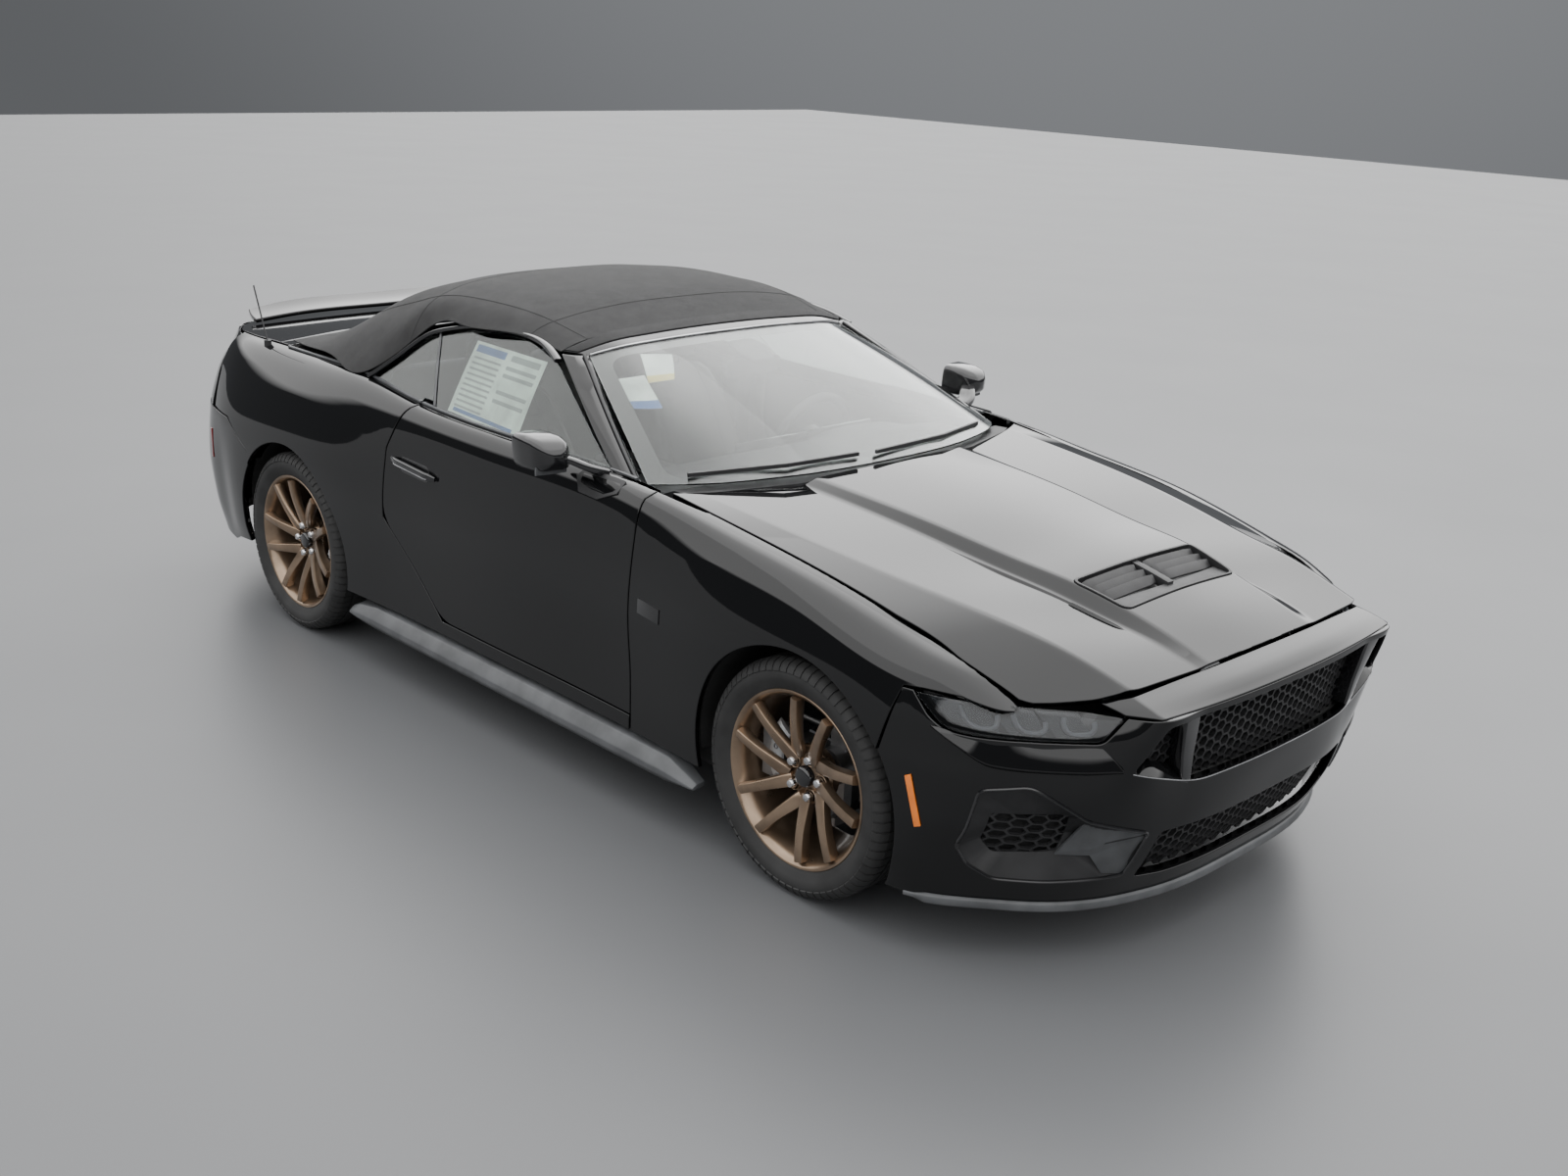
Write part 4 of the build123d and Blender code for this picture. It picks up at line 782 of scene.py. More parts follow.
def make_plain(name, colour, roughness, grain=900.0, depth=0.0002, spread=0.07, metallic=0.0, **sockets):
    """Moulded or cast material with fine grain and a little unevenness."""
    made = shader(name, colour, roughness, metallic, **sockets)
    light = tuple(min(1.0, c * 1.25 + 0.002) for c in colour)
    dark = tuple(c * 0.82 for c in colour)
    tint(made, noise(made, 11.0, 5.0), dark, light)
    vary(made, noise(made, 23.0, 3.0), max(0.02, roughness - spread), min(1.0, roughness + spread))
    if depth:
        bump(made, noise(made, grain, 2.0), 0.35, depth)
    return made


def make_glass(name, colour):
    """Clear glass with a faint drift in its tint."""
    made = shader(name, colour, 0.0, Transmission_Weight=1.0, IOR=1.45)
    tint(made, noise(made, 4.0, 2.0), tuple(c * 0.97 for c in colour), colour)
    return made


PAINT = make_paint()
GLOSS_TRIM = make_plain("gloss_black_trim", (0.008, 0.008, 0.009), 0.12, depth=0, spread=0.03,
                        Coat_Weight=0.6)
BLACK_PLASTIC = make_plain("black_plastic", (0.016, 0.016, 0.017), 0.5)
SATIN_GREY = make_plain("satin_grey", (0.075, 0.078, 0.082), 0.4, metallic=0.1, grain=1500.0)
CLEAR_GLASS = make_glass("clear_glass", (0.93, 0.97, 0.955))
SIDE_PANE = make_glass("side_glass", (0.80, 0.86, 0.83))
SMOKED_GLASS = make_glass("smoked_glass", (0.42, 0.44, 0.46))
BRONZE = make_plain("bronze_wheel", (0.27, 0.195, 0.135), 0.3, metallic=0.85, depth=0, Coat_Weight=0.3)
RUBBER = make_plain("tyre_rubber", (0.02, 0.02, 0.02), 0.72, grain=500.0, depth=0.0003)
FRIT = make_plain("frit_black", (0.006, 0.006, 0.006), 0.3, depth=0)
LAMP_GREY = make_plain("lamp_bar", (0.36, 0.37, 0.38), 0.3, depth=0)
AMBER = make_plain("amber_lens", (0.85, 0.20, 0.02), 0.16, depth=0, spread=0.04, Coat_Weight=0.8)
RED_LENS = make_plain("red_lens", (0.20, 0.006, 0.008), 0.14, depth=0, spread=0.03, Coat_Weight=1.0)
CHROME = make_plain("bright_metal", (0.62, 0.62, 0.63), 0.14, metallic=1.0, depth=0, spread=0.05)
STEEL = make_plain("suspension_steel", (0.30, 0.30, 0.305), 0.42, metallic=0.85, grain=700.0)
CAST = make_plain("cast_alloy", (0.60, 0.61, 0.62), 0.45, metallic=0.75, grain=600.0, depth=0.0004)
EXHAUST = make_plain("exhaust_steel", (0.34, 0.33, 0.32), 0.3, metallic=1.0, grain=240.0)
IRON = make_plain("engine_iron", (0.07, 0.072, 0.075), 0.55, metallic=0.5, grain=300.0, depth=0.0008)
UNDERBODY = make_plain("underbody_coat", (0.022, 0.022, 0.022), 0.78, grain=420.0, depth=0.0008)
LINER = make_plain("liner_felt", (0.012, 0.012, 0.012), 0.92, grain=1800.0, depth=0.0008)
CABIN = make_plain("cabin_plastic", (0.030, 0.030, 0.032), 0.55, grain=1100.0, depth=0.0005)
PAPER = make_plain("paper", (0.72, 0.80, 0.74), 0.6, depth=0)
PAPER_BLUE = make_plain("paper_blue", (0.03, 0.12, 0.36), 0.5, depth=0)
PAPER_GREY = make_plain("paper_grey", (0.30, 0.34, 0.33), 0.6, depth=0)
PAPER_YELLOW = make_plain("paper_yellow", (0.62, 0.52, 0.12), 0.6, depth=0)


def make_leather():
    """Dark hide: fine pebbled grain, soft creases and a little wear on the sheen."""
    made = shader("seat_leather", (0.03, 0.03, 0.032), 0.46, Coat_Weight=0.12)
    nodes, links, _ = tree(made)
    tint(made, noise(made, 9.0, 4.0), (0.020, 0.020, 0.022), (0.040, 0.039, 0.040))
    vary(made, noise(made, 30.0, 3.0), 0.38, 0.56)
    where = nodes.new("ShaderNodeTexCoord")
    pebble = nodes.new("ShaderNodeTexVoronoi")
    pebble.feature = "DISTANCE_TO_EDGE"
    pebble.inputs["Scale"].default_value = 520.0
    links.new(where.outputs["Object"], pebble.inputs["Vector"])
    bump(made, pebble.outputs["Distance"], 0.5, 0.0006)
    return made


def make_fabric():
    """Woven roof cloth: crossed threads under a soft mottle."""
    made = shader("soft_top_fabric", (0.016, 0.016, 0.017), 0.88, Sheen_Weight=0.06, Sheen_Roughness=0.5)
    nodes, links, _ = tree(made)
    tint(made, noise(made, 14.0, 6.0), (0.008, 0.008, 0.0085), (0.015, 0.015, 0.0155))
    vary(made, noise(made, 40.0, 3.0), 0.8, 0.95)
    where = nodes.new("ShaderNodeTexCoord")
    threads = []
    for axis in ("X", "Y"):
        wave = nodes.new("ShaderNodeTexWave")
        wave.bands_direction = axis
        wave.inputs["Scale"].default_value = 260.0
        wave.inputs["Distortion"].default_value = 0.6
        wave.inputs["Detail Scale"].default_value = 3.0
        links.new(where.outputs["Object"], wave.inputs["Vector"])
        threads.append(wave.outputs["Fac"])
    weave = nodes.new("ShaderNodeMath")
    weave.operation = "MAXIMUM"
    links.new(threads[0], weave.inputs[0])
    links.new(threads[1], weave.inputs[1])
    bump(made, weave.outputs["Value"], 0.5, 0.0005)
    return made


LEATHER = make_leather()
FABRIC = make_fabric()


# ---------------------------------------------------------------- body panels
side = Skin(SIDE, crease=(2,), soft=16.0, out=(1, 0, 0.5))


def side_loop(points, radius=0.0, step=14.0):
    """A closed (y, z) outline on the body side as (s, t) points."""
    return loop_by(side, points, 1, 0, radius=radius, step=step)


def door_line(grow):
    """The door's outline: front edge down, along the bottom, up the rear edge."""
    bottom = DOOR_BOTTOM_Z - grow
    nose = DOOR_HINGE_Y - DOOR_EDGE_R - grow
    return nose, bottom, [(284 + grow * 0.4, bottom), (602 + grow, 600), (598 + grow, 850),
                          (512 + grow, 1100)]


def edge_z(y):
    """Height of the body side's inner top edge."""
    return float(side.place([y], [0.0])[0, 2])


def make_fenders():
    """Front fenders, from the door gap to the headlamps."""
    nose = DOOR_HINGE_Y - DOOR_EDGE_R - GAP
    top = [(y, edge_z(y)) for y in np.linspace(nose, -2080, 40)]
    arch = arc(FRONT_AXLE_Y, AXLE_Z, ARCH_R, 145.6, -13.8, 60)
    lamp = [(-2080, 722), (-2030, 733), (-1970, 745), (-1880, 745), (-1824, 742), (-1776, 561)]
    points = [*top, *lamp, *arch[1:], (nose, ROCKER_TOP_Z)]
    line = side_loop(points)
    panel("fender_skin", side, [line], PAINT, sides=BOTH, stands=("front_fender",), wall=14)


def make_doors():
    """Door skins whose inner face stands against the door solid."""
    nose, bottom, rear = door_line(0)
    top = [(y, edge_z(y)) for y in np.linspace(512, nose, 30)]
    points = [(nose, bottom), *rear[:3], *top]
    radius = [3, 60, 60, 10, *[0] * len(top)]
    line = side_loop(points, radius)
    inner = lambda p: np.stack([np.minimum(p[:, 0] - 2, DOOR_IN_X), p[:, 1], p[:, 2]], axis=1)
    panel("door_skin", side, [line], PAINT, body="door", sides=BOTH, stands=("door",), inner=inner)


def make_quarters():
    """Quarter panels, from the door gap round the rear arch to the tail."""
    _, _, rear = door_line(GAP)
    top = [(y, edge_z(y)) for y in np.linspace(QUARTER_REAR_Y, 515 + GAP, 50)]
    arch = arc(REAR_AXLE_Y, AXLE_Z, ARCH_R, 193.8, 40.0, 60)
    rocker = [(ROCKER_FRONT_Y, ROCKER_TOP_Z), *arch]
    points = [*rocker, (1560, 645), (1760, 738), (QUARTER_REAR_Y, 738), (QUARTER_REAR_Y, 900), *top]
    points += [rear[2], rear[1], rear[0], (ROCKER_FRONT_Y, rear[0][1])]
    line = side_loop(points)
    panel("quarter_skin", side, [line], PAINT, sides=BOTH, stands=("quarter_panel",), wall=14)


hood_skin = Skin(HOOD, full=True, crease=(1, 2, 3), soft=10.0)


def make_hood():
    """The hood with the vent cut out of it, and the cap in front of it."""
    half = walk([*HOOD_FRONT_SEAM], 14, [0, 30, 60, 16, 0, 0], closed=False)
    edge = walk([(748, -2084), (751, -2040), (766, -1900), (777, -1677), (783, -1095), (788, -790)], 20,
                closed=False)
    back = walk([(788, -790), *reversed(HOOD_REAR_SEAM[:-1])], 14, [0, 80, 80, 0], closed=False)
    half = np.concatenate([half, edge[1:], back[1:]])
    loop = np.concatenate([half, mirrored_points(half[::-1][1:-1])])
    loop = on_rows(hood_skin, loop)
    vent = loop_by(hood_skin, [(-284, -1858), (284, -1858), (259, -2032), (-259, -2032)], radius=24, step=12)
    panel("hood_skin", hood_skin, [loop, vent], PAINT, body="hood", stands=("hood",), wall=16)
    panel("front_cap", cap_skin, [whole(cap_skin, 0.5, 14)], PAINT, wall=20, hem=3)


nose = Skin(NOSE, kind="nose", full=True, soft=6.0, held=True, out=(0, -1, 0))
cap_skin = Skin(CAP, kind="free", full=True, crease=(3,), soft=6.0, held=True)
NOSE_MID = nose.last / 2
NOSE_FOOT, NOSE_TOP = 172.0, 737.0


def rounded_half(parts, middle):
    """A loop symmetric about the middle column, from pieces of its left half."""
    half = np.concatenate(parts)
    other = half[1:-1][::-1].copy()
    other[:, 1] = 2 * middle - other[:, 1]
    return np.concatenate([half, other])


def nose_zone(points, radius=0.0, step=12.0, side=0):
    """An (x, z) outline on the nose; side is 1 or -1 for one half of the car."""
    if not side:
        return loop_by(nose, points, radius=radius, step=step)
    loop = loop_by(nose, points, low=NOSE_MID, radius=radius, step=step)
    if side < 0:
        loop[:, 1] = 2 * NOSE_MID - loop[:, 1]
    return loop


def make_nose():
    """The nose cover with its four openings."""
    top = walk([(0, 735), (560, 735), (598, 729), *LAMP[:-1], (896, 737)], 12,
               [0, 0, 8, 4, 14, 0, 10, 14, 10, 0], closed=False)
    top = on_rows(nose, top, low=NOSE_MID)
    rear = np.concatenate([walk([(-1823, 737), NOSE_SEAM[1]], 14, closed=False),
                           np.array(arc(FRONT_AXLE_Y, AXLE_Z, ARCH_R, 145.8, 206.0, 36))])
    rear = on_rows(nose, rear, 1, low=NOSE_MID)
    bottom = np.stack([np.full(70, NOSE_FOOT), np.linspace(rear[-1, 1], NOSE_MID, 70)], axis=1)
    loop = rounded_half([top, rear, bottom[1:]], NOSE_MID)
    holes = [nose_zone(GRILLE, 20), nose_zone(LOW_INTAKE, 18)]
    holes += [nose_zone(SIDE_INTAKE, 14, side=side) for side in (1, -1)]
    panel("nose_skin", nose, [loop, *holes], PAINT, stands=("front_bumper",), wall=26, hem=3.5, pitch=20)


def on_nose(points, depth=0.0):
    """(x, z) points on the nose cover, set depth millimetres behind its face."""
    points = np.asarray(points, float)
    t = nose.solve(points[:, 1], np.abs(points[:, 0]), 0, low=NOSE_MID)
    placed = nose.place(points[:, 1], t)
    placed -= nose.normals(points[:, 1], t) * np.reshape(depth, (-1, 1))
    placed[:, 0] *= np.where(points[:, 0] < 0, -1, 1)
    return placed


def honeycomb(outline, pitch, bar, back, deep, stretch=1.15):
    """Hexagonal mesh over an (x, z) outline on the nose, as rings that touch."""
    loop = np.array(outline, float)
    low, high = loop.min(axis=0), loop.max(axis=0)
    size = pitch / math.sqrt(3)
    centres = []
    for column, x in enumerate(np.arange(low[0], high[0] + pitch, 1.5 * size * stretch)):
        rise = pitch / 2 if column % 2 else 0.0
        centres.extend((x, z + rise) for z in np.arange(low[1] - pitch, high[1] + pitch, pitch))
    centres = np.array(centres)
    centres = centres[inside(centres, loop) | (distance(centres, loop) < size * 0.6)]
    turns = np.radians(np.arange(0, 360, 60))
    hexagon = np.stack([np.cos(turns) * stretch, np.sin(turns)], axis=1)
    outer = (centres[:, None] + hexagon * (size + 0.4)).reshape(-1, 2)
    inner = (centres[:, None] + hexagon * (size - bar)).reshape(-1, 2)
    outer[:, 1], inner[:, 1] = (
        np.clip(ring[:, 1], NOSE_FOOT + 1, NOSE_TOP - 1) for ring in (outer, inner))
    rings = [on_nose(outer, back), on_nose(inner, back), on_nose(inner, back + deep),
             on_nose(outer, back + deep)]
    parts = []
    for k in range(len(centres)):
        own = [ring[6 * k:6 * k + 6] for ring in rings]
        parts.append(skinned(own, closed=True))
    return gather(*parts)


def plate_on_nose(points, front, back):
    """A closed plate through (x, z) corners; front and back are depths, one or one per corner."""
    return skinned([on_nose(points, front), on_nose(points, back)])


def make_headlamps():
    """Smoked lenses over dark housings, each with three bent light bars."""
    lens = [(608, 727), (655, 666), (782, 662), (859, 659), (882, 663), (889, 683), (896, 735)]
    for name, lift, wall, surface, slot, stands in (
        ("headlamp_lens", -1.0, 5, SMOKED_GLASS, "lamp_clear", ("headlamps",)),
        ("headlamp_housing", -44.0, 5, BLACK_PLASTIC, "black_plastic", ()),
    ):
        for side in BOTH:
            loop = nose_zone(lens, [4, 12, 0, 10, 8, 8, 6], side=side)
            panel(sided(name, (), side), nose, [loop], surface, slot=slot, lift=lift,
                  wall=wall, hem=1.5, stands=stands if side > 0 else ())
    bars = (
        ((853, 723), (856, 700), (853, 685), (838, 681), (822, 687), (804, 713)),
        ((773, 725), (782, 700), (780, 686), (764, 682), (746, 686), (730, 707)),
        ((691, 717), (702, 700), (702, 688), (688, 684), (668, 687), (648, 713)),
    )
    parts = [sweep(on_nose(spline(bar, 26), 15.0), oval(9, 12, 5, 12), level=(0, -1, 0.2)) for bar in bars]
    solid("headlamp_bars", gather(*parts), LAMP_GREY, sides=BOTH)
    steps = [plate_on_nose([(x, 672), (x + 62, 672), (x + 70, 732), (x - 6, 732)], 24, 40)
             for x in (664, 742, 818)]
    solid("headlamp_steps", gather(*steps), GLOSS_TRIM, sides=BOTH, bevel=3)


def make_brows():
    """The body-coloured brow under each headlamp."""
    rows = []
    for k, (upper, lower) in enumerate((((657, 660), (616, 600)), ((717, 658), (700, 592)),
                                        ((790, 656), (790, 590)),
                                        ((826, 654), (832, 592)), ((862, 653), (874, 632)),
                                        ((887, 664), (894, 666)))):
        under = (lower[0], lower[1] - 11)
        places = on_nose([upper, ((upper[0] + lower[0]) / 2, (upper[1] + lower[1]) / 2), lower, under],
                         [2, -4, -11, 2])
        rows.append((k * 60, tuple(map(tuple, places))))
    brow = Skin(rows, kind="free", crease=(2,), soft=2.5, held=True, out=(0.5, -1, 0.5))
    panel("brow", brow, [whole(brow, 0.5, 10)], PAINT, sides=BOTH, wall=8, hem=1.0, pitch=12)


def make_grille():
    """Backings, meshes, slanted posts, nostril blades and a thin bright line along the foot."""
    zone = [(-560, 733), (560, 733), (625, 585), (395, 500), (0, 506), (-395, 500), (-625, 585)]
    panel("grille_backing", nose, [nose_zone(zone)], LINER, lift=-74, wall=4)
    mesh = honeycomb(GRILLE, 31.0, 3.4, 44.0, 12.0)
    low_mesh = honeycomb(LOW_INTAKE, 31.0, 3.4, 40.0, 12.0)
    side_mesh = honeycomb(MESH_ZONE, 29.0, 2.8, 44.0, 10.0)
    solid("grille_mesh", gather(mesh, low_mesh, side_mesh, mirrored(side_mesh)), BLACK_PLASTIC,
          stands=("front_grilles",))
    low_zone = [(-430, 396), (430, 396), (486, 240), (390, 222), (-390, 222), (-486, 240)]
    panel("low_intake_backing", nose, [nose_zone(low_zone)], LINER, lift=-80, wall=4)
    levels = []
    for q in np.linspace(0, 1, 6):
        z, inner, outer = 720 - 192 * q, 418 - 28 * q, 484 - 58 * q
        levels.append(on_nose([(inner, z), (inner + 4, z), (outer - 4, z), (outer, z), (outer - 2, z),
                               (inner + 2, z)], [6, 1, 1, 6, 56, 56]))
    solid("grille_post", skinned(levels), GLOSS_TRIM, sides=BOTH, bevel=2)
    blade = []
    for q in np.linspace(0, 1, 7):
        x, foot = 404 + 186 * q, 526 + 60 * q ** 1.1
        rise = 10 + 26 * math.sin(math.pi * min(1, q * 1.05)) ** 0.7
        blade.append(on_nose([(x, foot - 4), (x, foot + 4), (x, foot + rise), (x, foot + rise - 6)],
                             [-1, -1, 34, 38]))
    solid("nostril_blade", skinned(blade), PAINT, sides=BOTH, bevel=1.5)
    half = np.array([(0, 527), (200, 525), (380, 521), (598, 589)], float)
    foot = walk(half, 16, [0, 0, 60, 0], closed=False)
    foot = np.concatenate([mirrored_points(foot[::-1][:-1]), foot])
    solid("grille_lower_line", sweep(on_nose(foot, 0.5), oval(4, 4, 2.6, 8)), CHROME)


def make_side_intakes():
    """A funnel from each opening back to its mesh, the satin fin and the backing."""
    outline = walk(np.array(SIDE_INTAKE, float), 26, 16)
    middle = np.array((752.0, 385.0))
    reach = np.array(MESH_ZONE, float)
    dense = walk(reach, 6, 6)
    seen = np.arctan2(*(dense - middle).T[::-1])
    funnel = []
    for point in outline:
        turn = math.atan2(point[1] - middle[1], point[0] - middle[0])
        funnel.append(dense[np.argmin(np.abs((seen - turn + math.pi) % (2 * math.pi) - math.pi))])
    rings = [on_nose(outline, 5), on_nose(np.array(funnel), 42), on_nose(np.array(funnel), 48),
             on_nose(outline, 24)]
    solid("side_intake_rim", sweep(on_nose(outline, 1), oval(12, 8, 3, 8), closed=True), GLOSS_TRIM,
          sides=BOTH)
    solid("side_intake_funnel", skinned(rings, closed=True), BLACK_PLASTIC, sides=BOTH)
    fin = [(659, 428), (482, 390), (508, 266), (573, 272), (617, 326), (688, 318)]
    solid("side_intake_fin", plate_on_nose(fin, [24, 1, 1, 8, 20, 34], [32, 12, 12, 18, 30, 44]), SATIN_GREY,
          sides=BOTH, bevel=2)
    for side in BOTH:
        loop = nose_zone([(850, 450), (680, 462), (672, 300), (812, 296), (850, 340)], side=side)
        panel(sided("side_intake_backing", (), side), nose, [loop], LINER, lift=-66, wall=4)


def make_splitter():
    """The lip along the cover's lower edge, and the amber markers beside the arches."""
    t_end = float(nose.solve([NOSE_FOOT], [-1860.0], 1, low=NOSE_MID)[0])
    t = np.linspace(2 * NOSE_MID - t_end, t_end, 120)
    edge = nose.place(NOSE_FOOT, t)
    out = nose.normals(np.full(len(t), NOSE_FOOT), t)
    lip = np.array([(-16, -13), (9, -13), (12, -9), (12, 8), (8, 12), (-2, 14), (-16, 12)], float)
    taper = np.clip(np.minimum(np.arange(120), 119 - np.arange(120)) / 6.0, 0.45, 1.0)
    rings = [p + lip[:, :1] * k * n + lip[:, 1:] * k * np.array((0, 0, 1.0))
             for p, n, k in zip(edge, out, taper)]
    solid("splitter_lip", skinned(rings), SATIN_GREY, stands=("front_splitter",), bevel=1)
    marker = np.array([(916, -1863, 514), (912, -1880, 522), (901, -1915, 388), (905, -1897, 381)], float)
    way = np.array((0.90, -0.43, 0.0))
    solid("front_marker", skinned([marker + way * 6, marker - way * 8]), AMBER, sides=BOTH, bevel=1.5)


def on_hood(points, lift=0.0):
    """(x, y) points on the hood, raised by lift."""
    points = np.asarray(points, float)
    t = hood_skin.solve(points[:, 1], points[:, 0], 0)
    placed = hood_skin.place(points[:, 1], t)
    placed[:, 2] += lift
    return placed


def make_vent():
    """The hood's heat extractor: rim, spine, three louvres a side and a broad front plate."""
    corners = [(-280, -1862), (280, -1862), (256, -2028), (-256, -2028)]
    loop = walk(corners, 12, 24)
    tray = loop_by(hood_skin, [(-292, -1850), (292, -1850), (266, -2040), (-266, -2040)], radius=20, step=14)
    panel("vent_tray", hood_skin, [tray], BLACK_PLASTIC, body="hood", lift=-38, wall=4, stands=("hood_vent",))
    solid("vent_rim", sweep(on_hood(loop, 0.5), oval(9, 7, 3, 8), closed=True), BLACK_PLASTIC, "hood")
    inner = loop * 0.985 + np.array((0, -29.2))
    wall = [on_hood(loop, 0), on_hood(inner, 0), on_hood(inner, -40), on_hood(loop, -40)]
    solid("vent_wall", skinned(wall, closed=True), BLACK_PLASTIC, "hood")
    parts = []
    for side in BOTH:
        for y in (-1884, -1916, -1948):
            reach = 266 - (abs(y) - 1862) * 0.14
            rings = []
            for q in np.linspace(0, 1, 9):
                x = side * (20 + (reach - 20) * q)
                end = 1.0 if 0 < q < 1 else 0.55
                top, low = on_hood([(x, y + 12 * end), (x, y - 13 * end)], 0)
                rings.append([top + (0, 0, -3), low + (0, 0, -17), low + (0, 0, -22), top + (0, 0, -8)])
            parts.append(skinned(rings))
    depths = np.array([(0, 0, -3), (0, 0, -3), (0, 0, -30), (0, 0, -30)])
    spine = [on_hood([(-13, y), (13, y), (13, y), (-13, y)], 0) + depths
             for y in np.linspace(-1864, -1990, 5)]
    front = []
    for x in np.linspace(-250, 250, 21):
        bow = 1 - (x / 270) ** 2
        rear, low = on_hood([(x, -1978 + 14 * (1 - bow)), (x, -2026)], 0)
        front.append([rear + (0, 0, -13), low + (0, 0, -3), low + (0, 0, -12), rear + (0, 0, -22)])
    parts += [skinned(spine), skinned(front)]
    solid("vent_louvres", gather(*parts), BLACK_PLASTIC, "hood", bevel=1.5)


tail = Skin(TAIL, kind="nose", full=True, soft=6.0, held=True, out=(0, 1, 0))
TAIL_MID = tail.last / 2
deck_skin = Skin(DECK, full=True)
spoiler_skin = Skin(SPOILER, full=True)


def tail_row(z, points, step=14.0):
    """Points on the left of the tail at one height, given by x, then t solved for."""
    line = walk([(x, z) for x in points], step, closed=False)
    return on_rows(tail, line, low=TAIL_MID)


def tail_flank(points, step=14.0):
    """Points on the tail's left flank given as (y, z)."""
    line = walk(points, step, closed=False)
    return on_rows(tail, line, 1, low=TAIL_MID)


def make_tail():
    """The rear cover, the tail panel and the corners beside it."""
    end = tail_flank([(1766, BUMPER_TOP_Z)])
    top = np.stack([np.full(80, BUMPER_TOP_Z), np.linspace(TAIL_MID, end[0, 1], 80)], axis=1)
    side_edge = tail_flank([(1766, BUMPER_TOP_Z), (1566, 640),
                            *arc(REAR_AXLE_Y, AXLE_Z, ARCH_R, 39.0, -13.6, 36), (1780, 232), (1860, 200)])
    low = walk([(868, 200), (575, 200), (560, 322), (0, 330)], 14, [0, 20, 30, 0], closed=False)
    low = on_rows(tail, low, low=TAIL_MID)
    loop = rounded_half([top[:-1], side_edge, low], TAIL_MID)
    plate = loop_by(tail, [(-170, 560), (170, 560), (170, 668), (-170, 668)], radius=16, step=12)
    panel("rear_bumper_skin", tail, [loop, plate], PAINT, stands=("rear_bumper",), wall=24, hem=3.5, pitch=22)
    upper = loop_by(tail, [(-558, 738), (558, 738), (558, 998), (-558, 998)], radius=4)
    lamps = loop_by(tail, [(-548, 776), (548, 776), (548, 894), (-548, 894)], radius=16)
    panel("tail_panel_skin", tail, [upper, lamps], PAINT, stands=("tail_panel",), wall=22, hem=3)
    corner = [tail_row(737, (562, 800)), tail_flank([(2010, 737), (1984, 737), (1984, 1010)])]
    top_edge = np.stack([np.full(30, 1010.0),
                         np.linspace(corner[1][-1, 1], tail_row(1010, (562, 563))[0, 1], 30)], axis=1)
    inner = tail_row(1010, (562, 563))[:1]
    loop = np.concatenate([corner[0], corner[1], top_edge[1:],
                           inner * 0 + [[900, tail_row(900, (562, 563))[0, 1]]]])
    panel("quarter_corner", tail, [loop], PAINT, sides=BOTH, wall=22, hem=1.5, out=(0.5, 1, 0))


def deck_loop(y0, y1):
    """The deck's outline between two places along the car."""
    seam = walk(DECK_SIDE_SEAM, 14, [0, 0, 60, 60, 60, 0], closed=False)
    ys = np.linspace(y0, min(y1, SEAM_TURN_Y), 40)
    xs = np.interp(ys, seam[:60, 1], seam[:60, 0])
    half = list(zip(xs, ys))
    if y1 > SEAM_TURN_Y:
        half += [(x, y) for x, y in seam if y > SEAM_TURN_Y + 2]
    else:
        half += [(0, y1)]
    half = np.array([(0, y0), *half])
    half = half[half[:, 0] >= 0]
    loop = np.concatenate([half, mirrored_points(half[::-1][1 if half[-1, 0] == 0 else 0:-1])])
    return on_rows(deck_skin, loop)


def make_deck():
    """The fixed deck, the decklid and the spoiler on its posts."""
    panel("rear_deck_skin", deck_skin, [deck_loop(*REAR_DECK_Y)], PAINT, stands=("rear_deck",), wall=18)
    panel("decklid_skin", deck_skin, [deck_loop(*LID_Y)], PAINT, body="decklid", stands=("decklid",), wall=20)
    panel("spoiler_skin", spoiler_skin, [whole(spoiler_skin)], PAINT, body="decklid",
          stands=("rear_spoiler",), wall=16, hem=6)
    for x, top in ((-420, 1046), (0, 1052), (420, 1046)):
        rise = sweep([(x, 2184, 1012), (x, 2184, top)], oval(30, 66, 3))
        solid(f"spoiler_post_{'mid' if x == 0 else 'left' if x > 0 else 'right'}", rise, GLOSS_TRIM,
              "decklid")


top_skin = Skin(TOP, full=True)
screen_skin = Skin(SCREEN, kind="free", full=True)
header_skin = Skin(HEADER, kind="free", full=True)
glass_skin = Skin([(y, tuple((x + shift, z) for x, z in SIDE_GLASS)) for y, shift in ((-700, 0), (950, -6))],
                  out=(1, 0, 0.5))


def on_glass(points, lift=0.0):
    """(y, z) points on the leaning side glass, moved outwards by lift."""
    points = np.asarray(points, float)
    t = glass_skin.solve(points[:, 0], points[:, 1], 1)
    placed = glass_skin.place(points[:, 0], t)
    placed[:, 0] += lift
    return placed


def on_side(points, lift=0.0):
    """(y, z) points on the left body side, moved outwards by lift."""
    points = np.asarray(points, float)
    t = side.solve(points[:, 0], points[:, 1], 1)
    return side.place(points[:, 0], t) + side.normals(points[:, 0], t) * lift


def glass_loop(points, radius):
    """A closed (y, z) outline on the side glass as (s, t) points."""
    return loop_by(glass_skin, [(z, y) for y, z in points], axis=1, along=1, radius=radius, step=12)


def quad(corners, u0, u1, v0, v1, step=4):
    """A loop over part of a four-cornered patch given in surface coordinates."""
    a, b, c, d = (np.array(p, float) for p in corners)
    spot = lambda u, v: (a * (1 - u) + b * u) * (1 - v) + (d * (1 - u) + c * u) * v
    line = [(u0, v0), (u1, v0), (u1, v1), (u0, v1)]
    return np.array([spot(*(np.array(p) + (np.array(q) - np.array(p)) * k / step))
                     for p, q in zip(line, line[1:] + line[:1]) for k in range(step)])


